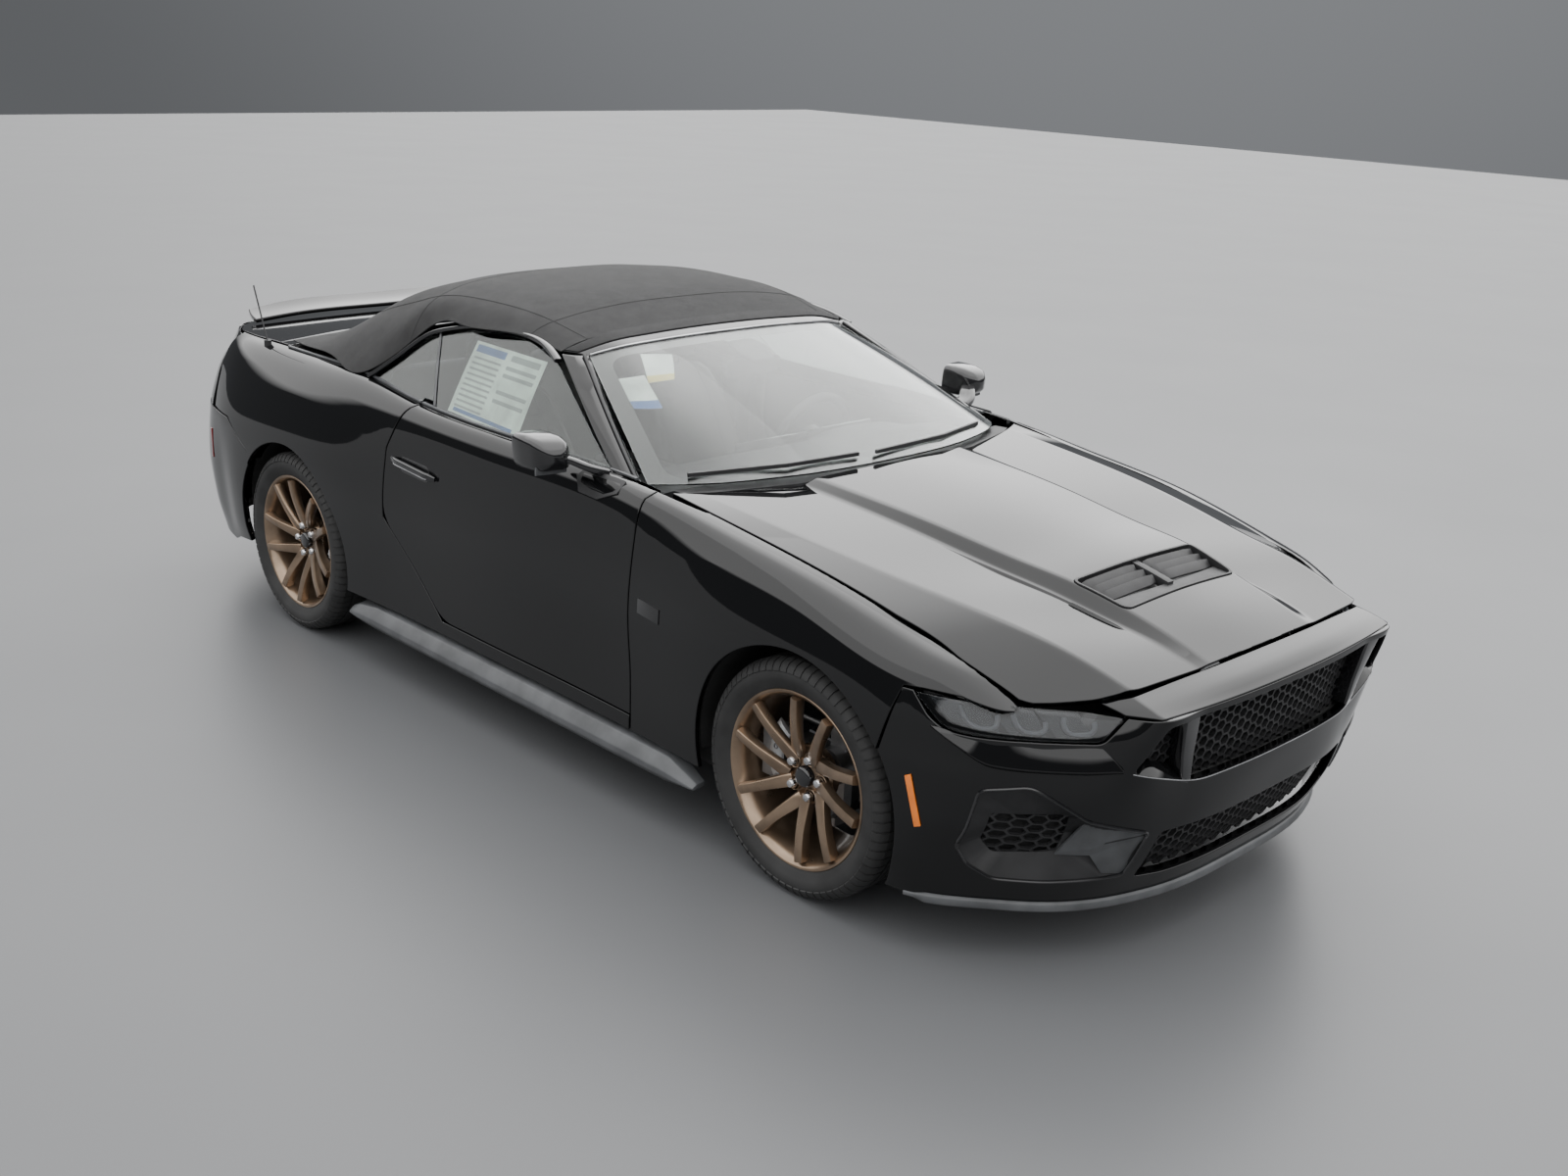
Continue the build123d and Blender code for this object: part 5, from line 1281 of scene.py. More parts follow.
def make_soft_top():
    """The cloth sheet with its seams and front hem, and the rear pane with its seal."""
    pane = loop_by(top_skin, REAR_PANE, radius=60)
    cloth = panel("soft_top_cover", top_skin, [whole(top_skin, 0.5), pane], FABRIC, stands=("soft_top",),
                  wall=4, hem=2)[0]
    seams = []
    for t in (-2.55, 2.55):
        rows = np.linspace(-40, 1150, 70)
        seams.append(sweep(top_skin.place(rows, top_skin.last / 2 + t), oval(5, 2.6, 2, 8)))
    for row in (118, 768):
        across = np.linspace(0.12, top_skin.last - 0.12, 80)
        seams.append(sweep(top_skin.place(row, across), oval(5, 2.6, 2, 8)))
    stitches = solid("soft_top_seams", gather(*seams), FABRIC)
    u = header_skin.u[-1]
    line = by_length(header_skin, walk([(52, 3), (119, 3), (119, u - 3), (52, u - 3)], 14, 6))
    hem = panel("soft_top_front_hem", header_skin, [line], FABRIC, lift=4, wall=4, hem=2)[0]
    inner = loop_by(top_skin, [(x * 0.992, 1316 + (y - 1316) * 0.985) for x, y in REAR_PANE], radius=58)
    panel("rear_window_glass", top_skin, [inner], SMOKED_GLASS, slot="clear_glass", stands=("rear_window",),
          wall=4, lift=-3)
    rim = top_skin.place(pane[:, 0], pane[:, 1])
    solid("rear_window_seal", sweep(rim, oval(14, 7, 3, 8), closed=True), BLACK_PLASTIC)


def make_windscreen():
    """The glass with its black edge and labels, the header, the pillars and their trim."""
    panel("windshield_glass", screen_skin, [whole(screen_skin, 1)], CLEAR_GLASS, stands=("windshield",),
          wall=5)
    u = screen_skin.u[-1]
    corners = [(34, 62), (34, u - 62), (786, u - 62), (786, 62)]
    sight = by_length(screen_skin, walk(corners, 16, 70))
    panel("windshield_frit", screen_skin, [whole(screen_skin, 3), sight], FRIT, lift=-5.5, wall=1.0, hem=0.4)
    middle = screen_skin.last / 2
    for name, where, foot in (
        ("inspection_label", ((779.5, 1.656), (748.9, 1.111), (593.4, 1.421), (591.5, 1.828)), PAPER_YELLOW),
        ("dealer_label", ((652.6, 2.504), (643.6, 1.815), (431.9, 1.837), (452.1, 2.419)), PAPER_BLUE),
    ):
        spots = [(row, middle - t) for row, t in where]
        panel(name, screen_skin, [quad(spots, 0, 1, 0, 1)], PAPER, lift=-7.0, wall=0.6, hem=0.2)
        panel(name + "_foot", screen_skin, [quad(spots, 0, 1, 0.76, 1)], foot, slot="clear_glass", lift=-6.7,
              wall=0.3, hem=0.1)
    panel("header_skin", header_skin, [whole(header_skin, 1.5)], GLOSS_TRIM, stands=("windshield_frame",),
          wall=22)
    upper, lower = np.array(PILLAR[0], float), np.array(PILLAR[1], float)
    levels = []
    for q in np.linspace(0, 1, 12):
        ring = upper * (1 - q) + lower * q
        ring[:, 0] += 5 * math.sin(math.pi * q)
        levels.append(ring)
    solid("windshield_pillar", skinned(levels), PAINT, sides=BOTH, bevel=7)
    edge = [ring[0] * 0.62 + ring[1] * 0.38 + (0, -2, 3) for ring in levels]
    solid("windshield_side_trim", sweep(edge, oval(12, 8, 3, 8)), BLACK_PLASTIC, sides=BOTH)
    bead = screen_skin.place(838, np.linspace(0.05, screen_skin.last - 0.05, 60)) + np.array((0, 2, 3))
    solid("windshield_top_bead", sweep(bead, oval(9, 7, 3, 8)), CHROME)


def make_side_glass():
    """The side panes, their strip and seals, and the light moulding along the belt."""
    window = [(-556, 990), (418, 990), (434, 1008), (588, 1216), (450, 1258), (130, 1274), (-72, 1232)]
    panel("door_glass_pane", glass_skin, [glass_loop(window, [4, 4, 4, 8, 60, 60, 8])], SIDE_PANE,
          body="door",
          stands=("door_glass",), sides=BOTH, wall=4)
    behind = [(452, 1024), (520, 1024), (526, 996), (820, 996), (873, 1036), (640, 1206), (604, 1219)]
    panel("quarter_glass_pane", glass_skin, [glass_loop(behind, [4, 4, 4, 30, 10, 30, 6])], SIDE_PANE,
          stands=("quarter_glass",), sides=BOTH, wall=4)
    solid("quarter_glass_strip", sweep(on_glass([(444, 1012), (480, 1060), (540, 1142), (601, 1224)], 2),
                                       oval(9, 7, 3, 8)), SATIN_GREY, sides=BOTH)
    line = spline([(-74, 1240), (20, 1272), (130, 1286), (290, 1282), (450, 1268), (560, 1244), (648, 1216),
                   (760, 1130), (884, 1038)], 60)
    solid("side_window_seal", sweep(on_glass(line, 8), oval(26, 16, 3.4, 12)), GLOSS_TRIM, sides=BOTH)
    belt = oval(15, 9, 3, 10)
    for name, body, y0, y1 in (("door_belt_moulding", "door", -640, 506),
                               ("quarter_belt_moulding", "car", 520, 1540)):
        ys = np.linspace(y0, y1, 40)
        edge = side.place(ys, 0.06) + np.array((0, 0, 3.0))
        solid(name, sweep(edge, belt), SATIN_GREY, body, sides=BOTH)
    across = top_skin.place(1545, np.linspace(0.1, top_skin.last - 0.1, 60)) + np.array((0, 4.0, -6.0))
    solid("deck_moulding", sweep(across, belt), SATIN_GREY)


def make_window_sheet():
    """The paper sheet that hangs inside the passenger's window."""
    spots = [(y, float(glass_skin.solve([y], [z], 1)[0]))
             for y, z in ((388, 1233), (-16, 1227), (-43, 997), (370, 1012))]
    blocks = [(0, 1, 0, 1, PAPER, -5.2, 0.6), (0.04, 0.46, 0.04, 0.14, PAPER_BLUE, -4.9, 0.3),
              (0.54, 0.94, 0.05, 0.13, PAPER_GREY, -4.9, 0.3)]
    blocks += [(0.05, 0.44, v, v + 0.03, PAPER_GREY, -4.9, 0.3) for v in np.arange(0.2, 0.9, 0.075)]
    blocks += [(0.52, 0.94, v, v + 0.05, PAPER_GREY, -4.9, 0.3) for v in (0.2, 0.3, 0.52, 0.64)]
    blocks += [(0.06, 0.9, 0.92, 0.97, PAPER_BLUE, -4.9, 0.3)]
    pieces = []
    for u0, u1, v0, v1, surface, lift, wall in blocks:
        points, faces, _ = solid_panel(glass_skin, [quad(spots, u0, u1, v0, v1, 8)], wall=wall, hem=0.1,
                                       lift=lift)
        pieces.append((surface, mirrored((points, faces))))
    for name, surface in (("window_sheet", PAPER), ("window_sheet_blue", PAPER_BLUE),
                          ("window_sheet_grey", PAPER_GREY)):
        shape = gather(*[part for own, part in pieces if own == surface])
        finish_piece(mesh_object(name, *shape, smooth=False), surface, "door_right")


def about(axle_y, radius, turn):
    """The (y, z) place on a circle about an axle."""
    return axle_y + radius * math.cos(turn), AXLE_Z + radius * math.sin(turn)


def wheel_spoke(half_track, x_out, axle_y, root, tip):
    """One spoke: a ridged bar with a chamfer, wider and thinner towards the rim."""
    start = np.array((half_track + 58, *about(axle_y, SPOKE_ROOT_R, root)))
    end = np.array((x_out - 14, *about(axle_y, SPOKE_TIP_R, tip)))
    share = np.linspace(0, 1, 10)
    line = np.stack([start + (end - start) * q + np.array((9 * math.sin(math.pi * q), 0, 0)) for q in share])
    ridge = np.array([(-13, -36), (13, -36), (17, -9), (15, -2), (3, 3), (-1, 3), (-12, -4), (-16, -11)],
                     float)
    wide = np.interp(share, [0, 0.35, 1], [0.95, 0.9, 1.3])
    deep = np.interp(share, [0, 0.5, 1], [1.1, 0.85, 0.75])
    return sweep(line, ridge, np.stack([wide, deep], axis=1), level=np.cross(end - start, (1, 0, 0)) * -1)


def set_out(profile, start):
    """An (x, radius) profile with its x counted from a start."""
    return [(start + x, r) for x, r in profile]


def tyre_blocks(half_track, axle_y, rows=72):
    """Tread blocks and shoulder sipes, standing a little proud of the carcass."""
    half = TYRE_WIDTH / 2
    parts = []
    bands = ((-half + 34, -62), (-54, -20), (-12, 12), (20, 54), (62, half - 34))
    for number, (x0, x1) in enumerate(bands):
        for k in range(rows):
            lead = (k + (0.5 if number % 2 else 0.0)) * 2 * math.pi / rows
            span = 2 * math.pi / rows * (0.82 if number in (0, 4) else 0.88)
            slant = 0.012 if number in (1, 3) else 0.0
            rings = []
            for r in (TREAD_R - 2.5, TREAD_R):
                ring = [(half_track + x, *about(axle_y, r, a))
                        for x, a in ((x0, lead), (x1, lead + slant), (x1, lead + slant + span),
                                     (x0, lead + span))]
                rings.append(ring)
            parts.append(skinned(rings))
    for side_of in (-1, 1):
        for k in range(rows):
            lead, span = k * 2 * math.pi / rows, 2 * math.pi / rows * 0.8
            outer = ((half - 35, 340.8), (half - 15, 333.8), (half - 4, 320.0), (half - 1, 311.0))
            rings = []
            for a in (lead, lead + span):
                upper = [(half_track + side_of * (x + 0.9), *about(axle_y, r + 1.4, a)) for x, r in outer]
                under = [(half_track + side_of * (x - 3), *about(axle_y, r - 3, a)) for x, r in outer]
                rings.append(upper + under[::-1])
            parts.append(skinned(rings))
    return gather(*parts)


def make_wheels():
    """Rims, nuts, caps, tyres and brake calipers."""
    for place, axle_y, half_track, turn in (("front", FRONT_AXLE_Y, FRONT_TRACK_HALF, 34.0),
                                            ("rear", REAR_AXLE_Y, REAR_TRACK_HALF, 0.0)):
        body = "wheel_" + place
        axle = (axle_y, AXLE_Z)
        x_in, x_out = half_track - 122, half_track + 112
        rim = set_out([(0, 256), (-3, 258), (-9, 257), (-13, 250), (-16, 243), (-40, 236), (-62, 228)], x_out)
        rim += set_out([(30, 226), (10, 240), (0, 257), (0, 240), (14, 228), (30, 220)], x_in)
        rim += set_out([(-64, 222), (-40, 229), (-18, 236), (-8, 244), (-2, 250)], x_out)
        parts = [turned(rim, axle, 120)]
        nuts, wells = [], []
        for pair in range(5):
            middle = math.radians(turn + pair * 72)
            for hand in (-1, 1):
                parts.append(wheel_spoke(half_track, x_out, axle_y, middle + hand * math.radians(29),
                                         middle + hand * math.radians(15)))
            spot = about(axle_y, NUT_CIRCLE_R, middle)
            nut = set_out([(50, 0.01), (50, 15), (70, 15), (78, 13.5), (83, 10), (85, 0.01)], half_track)
            nuts.append(turned(nut, spot, 18))
            well = set_out([(52, 23), (64, 23), (66, 21.5), (64, 19), (52, 19)], half_track)
            wells.append(turned(well, spot, 24))
        hub = set_out([(60, 0.01), (60, 38), (56, 50), (54, 74), (44, 84), (20, 84), (20, 0.01)], half_track)
        cap = set_out([(84, 0.01), (83.5, 20), (81, 27), (77, 30), (55, 31), (55, 0.01)], half_track)
        solid(body + "_rim", gather(*parts, turned(hub, axle, 60), *wells), BRONZE, body, stands=(body,),
              sides=BOTH, bevel=1.0)
        solid(body + "_nuts", gather(*nuts), CHROME, body, sides=BOTH)
        solid(body + "_cap", turned(cap, axle, 48), GLOSS_TRIM, body, sides=BOTH)
        half = TYRE_WIDTH / 2
        profile = [(half - 22, 247), (half - 20, 256), (half - 14, 262), (half - 12, 270), (half - 4, 282),
                   (half - 1, 300), (half - 4, 318), (half - 15, 332), (half - 34, 339.5), (58, 341),
                   (57, 335), (48, 335), (47, 341.2), (16, 341.6), (15, 335)]
        profile += [(-x, r) for x, r in reversed(profile)]
        shape = gather(turned(set_out(profile, half_track), axle, 128), tyre_blocks(half_track, axle_y))
        solid("tyre_" + place + "_carcass", shape, RUBBER, body, stands=("tyre_" + place,), sides=BOTH,
              angle=34)
        # Caliper plate with pockets, ahead of the front disc and behind the rear one.
        front = place == "front"
        centre = 0.0 if front else math.pi
        block_rings = []
        for a in np.linspace(centre - CALIPER_HALF_TURN, centre + CALIPER_HALF_TURN, 13):
            deep = 1.0 - 0.25 * abs((a - centre) / CALIPER_HALF_TURN) ** 3
            block_rings.append([(half_track + x, *about(axle_y, r, a))
                                for x, r in ((14, 122), (34 * deep, 128), (38 * deep, 140), (38 * deep, 168),
                                             (30 * deep, 186), (14, 192))])
        pockets = []
        for k in (-2, -1, 0, 1, 2):
            a = centre + k * CALIPER_PITCH
            spot = about(axle_y, CALIPER_R, a)
            bolt = set_out([(30, 0.01), (39, 9), (40.5, 8), (40.5, 5), (37, 4), (36, 0.01)], half_track)
            pockets.append(turned(bolt, spot, 18))
        holder = "knuckle" if front else "car"
        solid(place + "_caliper", skinned(block_rings), CAST, holder, sides=BOTH, bevel=2.5)
        solid(place + "_caliper_bolts", gather(*pockets), STEEL, holder, sides=BOTH)


def make_mirrors():
    """Door mirrors: shell, glass, strip, stalk and foot."""
    rings = []
    for y, cx, cz, wide, high in ((-482, 970, 1046, 24, 20), (-476, 970, 1046, 64, 50),
                                  (-458, 968, 1048, 102, 84), (-425, 966, 1050, 118, 104),
                                  (-380, 966, 1051, 121, 110), (-340, 966, 1051, 120, 110),
                                  (-333, 966, 1051, 116, 106)):
        outline = oval(wide, high, 4.6, 32)
        rings.append([(cx + a + b * 0.10, y + a * 0.14, cz + b) for a, b in outline])
    solid("mirror_shell", skinned(rings), GLOSS_TRIM, "door", stands=("mirror",), sides=BOTH, angle=50)
    face = [[(966 + a + b * 0.10, y + a * 0.14, 1051 + b) for a, b in oval(110, 96, 4.6, 32)]
            for y in (-334, -330.5)]
    solid("mirror_glass", skinned(face), CHROME, "door", sides=BOTH)
    line = [(966 + a + b * 0.10, -440 + a * 0.1, 1003 + b * 0.2)
            for a, b in ((-52, 6), (-20, 2), (20, 2), (52, 8))]
    solid("mirror_lower_strip", sweep(spline(line, 16), oval(8, 26, 3, 8)), SATIN_GREY, "door", sides=BOTH)
    stalk = [(822, -512, 994), (866, -500, 1010), (905, -470, 1030), (940, -445, 1042)]
    solid("mirror_stalk", sweep(spline(stalk, 12), oval(60, 26, 3, 16), np.linspace(1.15, 0.8, 12),
                                level=(0, 0, 1)), GLOSS_TRIM, "door", sides=BOTH)
    foot = [on_side([(-640, 988), (-600, 990), (-455, 992), (-440, 972), (-470, 930), (-560, 926),
                     (-640, 958)], lift) for lift in (-4, 7)]
    solid("mirror_foot", skinned(foot), BLACK_PLASTIC, "door", sides=BOTH, bevel=4)


def make_handles():
    """Pull handles over flat dark patches that paint the shade of their cup recesses, and the blank plates on
    the fenders.
    """
    ys = np.linspace(288, 552, 18)
    rise = 15 * np.clip(np.sin(math.pi * (ys - 270) / 300) * 1.6, 0, 1)
    line = on_side([(y, 803 + 18 * (y - 288) / 264) for y in ys], 0)
    line[:, 0] += rise + 2
    size = np.interp(np.arange(18), [0, 2, 15, 17], [0.55, 1, 1, 0.6])
    solid("door_handle", sweep(line, oval(15, 27, 3, 14), size), GLOSS_TRIM, "door", sides=BOTH)
    bright = line + np.array((6.5, 0, -6.0))
    solid("door_handle_strip", sweep(bright[2:-2], oval(3, 4, 3, 8)), CHROME, "door", sides=BOTH)
    # The cup recess is not carved: a thin gloss black patch laid on the door stands in for it, painted shade.
    handle_recess_shade = side_loop([(330, 778), (505, 786), (512, 838), (336, 832)], 30, 10)
    panel("door_handle_cup", side, [handle_recess_shade], GLOSS_TRIM, body="door", sides=BOTH, lift=0.8, wall=2, hem=0.6)
    badge = [on_side([(-905, 640), (-800, 646), (-800, 690), (-905, 684)], lift) for lift in (-2, 3)]
    solid("fender_blank_plate", skinned(badge), GLOSS_TRIM, sides=BOTH, bevel=1.2)


def make_skirts():
    """Side skirts whose ends run out to a blade."""
    profile = np.array([(864, 172), (926, 160), (937, 176), (935, 194), (910, 232), (864, 244)], float)
    levels = []
    for y in (-1064, -1030, -940, -700, -300, 100, 500, 700, 820, 868):
        ends = min(1.0, 0.25 + 0.75 * (y + 1064) / 130, 0.4 + 0.6 * (870 - y) / 90)
        ring = np.array([(x, y, 172 + (z - 172) * ends) for x, z in profile])
        ring[:, 0] = 900 + (ring[:, 0] - 900) * (0.55 + 0.45 * ends)
        levels.append(ring)
    solid("side_skirt", skinned(levels), SATIN_GREY, stands=("side_skirts",), sides=BOTH, bevel=3, angle=25)


def pad_ring(centre, aside, front, width, deep, bolster, count=15):
    """One section of a seat: a crowned front with raised bolsters, and a rounder back."""
    share = np.linspace(-1, 1, count)
    rise = np.clip((np.abs(share) - 0.52) / 0.3, 0, 1)
    fall = 1 - np.clip((np.abs(share) - 0.86) / 0.14, 0, 1) ** 2 * 1.4
    face = deep / 2 * (1 - 0.12 * share ** 2) + bolster * rise * fall
    rear = -deep / 2 * (1 - 0.3 * np.abs(share) ** 3)
    front_line = [centre + aside * width / 2 * a * 0.985 + front * b for a, b in zip(share, face)]
    rear_line = [centre + aside * width / 2 * a * 0.97 + front * b for a, b in zip(share[::-1], rear[::-1])]
    return front_line + rear_line


def seat_part(name, side, path, widths, deeps, bolsters, x, stands=()):
    """A padded part along a (y, z) path with its front to the path's left."""
    path = np.array(path, float)
    way = unit(np.gradient(path, axis=0))
    rings = []
    for (y, z), (dy, dz), width, deep, bolster in zip(path, way, widths, deeps, bolsters):
        rings.append(pad_ring(np.array((x, y, z)), np.array((1.0, 0, 0)), np.array((0, -dz, dy)), width, deep,
                              bolster))
    piece = solid(sided(name, (), side), skinned(rings), LEATHER, stands=stands, split=1, angle=180)
    return rings


def make_seats():
    """Seats with their piping."""
    piping = []
    for side_of in BOTH:
        x = 400 * side_of
        first = side_of > 0
        base = seat_part("front_seat_base", side_of,
                         [(-46, 372), (-30, 376), (60, 392), (200, 388), (340, 378), (440, 372), (462, 370)],
                         (420, 470, 484, 480, 470, 460, 400), (70, 118, 132, 128, 120, 112, 60),
                         (4, 14, 26, 34, 38, 30, 6), x,
                         ("front_seats",) if first else ())
        back = seat_part("front_seat_back", side_of,
                         [(420, 440), (432, 470), (480, 590), (546, 740), (600, 860), (645, 960), (662, 996)],
                         (400, 450, 474, 476, 440, 380, 280), (70, 110, 118, 112, 100, 84, 40),
                         (6, 24, 40, 44, 30, 14, 0), x)
        seat_part("front_headrest", side_of, [(642, 1012), (646, 1024), (656, 1080), (664, 1140), (668, 1176),
                                              (668, 1188)],
                  (150, 230, 262, 256, 210, 120), (40, 78, 92, 90, 70, 30), (0, 0, 0, 0, 0, 0), x)
        for rings in (base, back):
            for column in (3, 11):
                piping.append(sweep(spline([ring[column] for ring in rings[1:-1]], 30), oval(5, 5, 2, 8)))
        seat_part("rear_seat_base", side_of, [(728, 400), (742, 406), (820, 428), (920, 420), (1010, 404),
                                              (1050, 400)],
                  (440, 520, 552, 552, 540, 480), (60, 110, 128, 126, 118, 60), (0, 8, 14, 16, 12, 0),
                  308 * side_of,
                  ("rear_seat",) if first else ())
        seat_part("rear_seat_back", side_of, [(1010, 440), (1022, 470), (1068, 600), (1120, 760), (1164, 900),
                                              (1188, 970), (1192, 992)],
                  (440, 520, 548, 544, 510, 440, 340), (60, 96, 104, 100, 90, 74, 34),
                  (0, 10, 16, 18, 10, 4, 0), 308 * side_of)
        for dx in (-52, 52):
            piping.append(sweep([(x + dx, 640, 985), (x + dx, 648, 1030)], oval(12, 12, 2, 10)))
    solid("seat_piping", gather(*piping), CABIN)
    solid("rear_seat_tunnel_pad", block(-28, 28, 760, 1120, 380, 450), LEATHER, bevel=12, split=1)


def make_dashboard():
    """The dashboard with its screens, vents and strip."""
    levels = []
    for x in np.linspace(-728, 728, 29):
        hood_rise = 26 * math.exp(-((x - 380) / 150) ** 4)
        ends = 1 - 0.35 * (abs(x) / 728) ** 8
        dash = [(-688, 912), (-560, 944 + hood_rise * 0.3), (-440, 940 + hood_rise), (-356, 916 + hood_rise),
                (-338, 890), (-344, 850),
                (-372, 816), (-388, 760), (-440, 700), (-688, 690)]
        levels.append([(x, -688 + (y + 688) * ends, z if z < 900 else 900 + (z - 900) * min(1, ends + 0.2))
                       for y, z in dash])
    solid("dashboard_shell", skinned(levels), CABIN, stands=("dashboard",), bevel=3, angle=30)
    screens = gather(block(214, 520, -350, -338, 858, 948), block(-130, 196, -350, -336, 838, 944))
    solid("dash_screens", screens, GLOSS_TRIM, bevel=4)
    vents = [block(x, x + 96, -358, -334, 806, 836) for x in (-640, -250, -146, 60, 560)]
    solid("dash_vents", gather(*vents), GLOSS_TRIM, bevel=3)
    solid("dash_strip", block(-700, -150, -348, -334, 842, 850), CHROME, bevel=1.5)


def make_console():
    """The console with its armrest and selector."""
    rings = []
    for y, top, half in ((-400, 700, 100), (-330, 690, 112), (-120, 672, 118), (120, 664, 118),
                         (150, 690, 112), (420, 700, 110), (556, 690, 100), (560, 600, 96)):
        rings.append([(-half, y, 408), (half, y, 408), (half, y, top - 30), (half - 18, y, top),
                      (-half + 18, y, top), (-half, y, top - 30)])
    solid("console_shell", skinned(rings), CABIN, stands=("centre_console",), bevel=5)
    arm = solid("console_armrest", block(-86, 86, 170, 500, 694, 728), LEATHER, bevel=16, split=1)
    knob = turned([(0, 0.01), (4, 20), (20, 25), (44, 24), (58, 16), (62, 0.01)], (0, 0), 28)
    knob = (np.array([(z, y - 60, 700 + x) for x, y, z in knob[0]]), knob[1])
    lever = sweep([(0, -60, 660), (0, -60, 712)], oval(22, 22, 2, 14))
    solid("gear_selector", gather(knob, lever), GLOSS_TRIM)


def make_cards_and_mirror():
    """Door cards with their armrests, and the rear-view mirror."""
    card = [[(x, y, z) for y, z in ((-640, 340), (200, 330), (440, 560), (500, 760), (488, 950), (-600, 950),
                                    (-660, 800))] for x in (784, 796)]
    rest = [[(x, y, z) for y, z in ((-330, 640), (330, 652), (360, 676), (300, 704), (-250, 704),
                                    (-350, 690))] for x in (728, 786)]
    solid("door_card", gather(skinned(card), skinned(rest)), CABIN, "door", sides=BOTH, bevel=9)
    glass = [[(a, -262 + lean, 1184 + b) for a, b in oval(246, 66, 4, 36)] for lean in (-16, 14)]
    housing = [[(a, y, z + b) for a, b in oval(w, h, 4, 28)]
               for y, z, w, h in ((-330, 1212, 90, 14), (-262, 1236, 150, 26), (-206, 1252, 110, 24))]
    solid("rear_view_mirror", gather(skinned(glass), skinned(housing),
                                     sweep([(0, -262, 1200), (0, -250, 1240)], oval(24, 24, 2, 12))), CABIN,
                                     bevel=4)


def make_engine_bay():
    """A ribbed cover over the engine, seen when the hood is up."""
    parts = [block(-190, 190, -1560, -1020, 782, 800)]
    for k in range(4):
        y = -1500 + k * 130
        for side_of in BOTH:
            run = spline([(30 * side_of, y, 806), (110 * side_of, y, 826), (180 * side_of, y, 806)], 12)
            parts.append(sweep(run, oval(60, 26, 3, 14)))
    parts.append(block(-34, 34, -1560, -1020, 800, 822))
    solid("engine_cover", gather(*parts), BLACK_PLASTIC, bevel=6)


def make_rear():
    """Tri-bar lamps in their dark housing, plate recess, diffuser and fins, rear markers."""
    for side_of in BOTH:
        spots = [(x * side_of, z) for x, z in ((262, 772), (552, 772), (552, 898), (262, 898))]
        panel(sided("tail_lamp_housing", (), side_of), tail, [loop_by(tail, spots, radius=8)], GLOSS_TRIM,
              stands=("tail_lamps",) if side_of > 0 else (), lift=-26, wall=6, hem=2)
        for k, x in enumerate((286, 378, 470)):
            bar = [(px * side_of, z) for px, z in ((x, 786), (x + 64, 786), (x + 68, 886), (x + 4, 886))]
            panel(sided(f"tail_lamp_bar_{k + 1}", (), side_of), tail, [loop_by(tail, bar, radius=16, step=8)],
                  RED_LENS, lift=-3,
                  wall=26, hem=5, pitch=14)
    panel("tail_centre_panel", tail, [loop_by(tail, [(-256, 774), (256, 774), (256, 896), (-256, 896)],
                                              radius=6)], GLOSS_TRIM, lift=-8, wall=8, hem=2)
    panel("plate_recess", tail, [loop_by(tail, [(-176, 554), (176, 554), (176, 674), (-176, 674)],
                                         radius=14)], BLACK_PLASTIC, lift=-14, wall=8, hem=2)
    zone = [(-556, 196), (556, 196), (552, 326), (0, 334), (-552, 326)]
    holes = []
    for x in (-505, -400, 400, 505):
        turns = np.radians(np.arange(0, 360, 15))
        ring = np.stack([x + 50 * np.cos(turns), 262 + 50 * np.sin(turns)], axis=1)
        holes.append(on_rows(tail, ring))
    panel("diffuser_skin", tail, [loop_by(tail, zone, radius=[20, 20, 8, 0, 8]), *holes], SATIN_GREY,
          stands=("rear_diffuser",), lift=-24, wall=10, hem=3, pitch=18)
    fins = []
    for x in (-240, -120, 0, 120, 240):
        fins.append(skinned([[(x + dx, y, z) for y, z in FIN] for dx in (-4, 4)]))
    solid("diffuser_fins", gather(*fins), BLACK_PLASTIC, bevel=1.5)
    corners = np.array([(1986, 640), (2006, 640), (1998, 520), (1982, 520)], float)
    t = tail.solve(corners[:, 1], corners[:, 0], 1, low=TAIL_MID)
    spots = tail.place(corners[:, 1], t)
    way = tail.normals(corners[:, 1], t, (1, 0.3, 0))
    solid("rear_marker", skinned([spots + way * 4, spots - way * 8]), RED_LENS, sides=BOTH, bevel=1.5)


def make_trunk():
    """Felt side walls of the trunk, each with a ledge out to the quarter panel."""
    walls = []
    for y, edge in ((1500, 700), (1700, 700), (1860, 692), (2060, 655), (2150, 616)):
        walls.append([(x, y, z) for x, z in ((604, 446), (610, 446), (610, 964), (edge, 964), (edge, 970),
                                             (604, 970))])
    solid("trunk_wall", skinned(walls), LINER, sides=BOTH)


# ---------------------------------------------------------------- camera and studio
CAMERA_AT = (-3829.9, -4371.6, 2296.2)
CAMERA_RIGHT = (0.7228, -0.6899, 0.0400)
CAMERA_UP = (0.1946, 0.2587, 0.9462)
CAMERA_BACK = (-0.6631, -0.6761, 0.3212)
CAMERA_LENS, SENSOR_WIDTH = 38.32, 36.0
SKY_LOW, SKY_HIGH = 2.1, 4.4
# Height of view and colour where the dark ground haze ends and the white sky starts.
SKY_STOPS = ((0.19, (0.055, 0.057, 0.06, 1)), (0.27, (1.0, 1.0, 1.0, 1)))
# The sky's brighter side, and the cosines between which it rises to its full strength.
SKY_BRIGHT_TOWARDS = (0.77, 0.51, 0.40)
GLOW_FROM, GLOW_TO = 0.72, 0.99
KEY_AT, KEY_AIM = (0.0, 0.0, 6.0), (0.0, 0.0, 0.6)
KEY_WIDTH, KEY_LENGTH, KEY_WATTS = 7.0, 9.0, 150.0
FLOOR_HALF = 30000
FLOOR_COLOUR = (0.12, 0.123, 0.128)


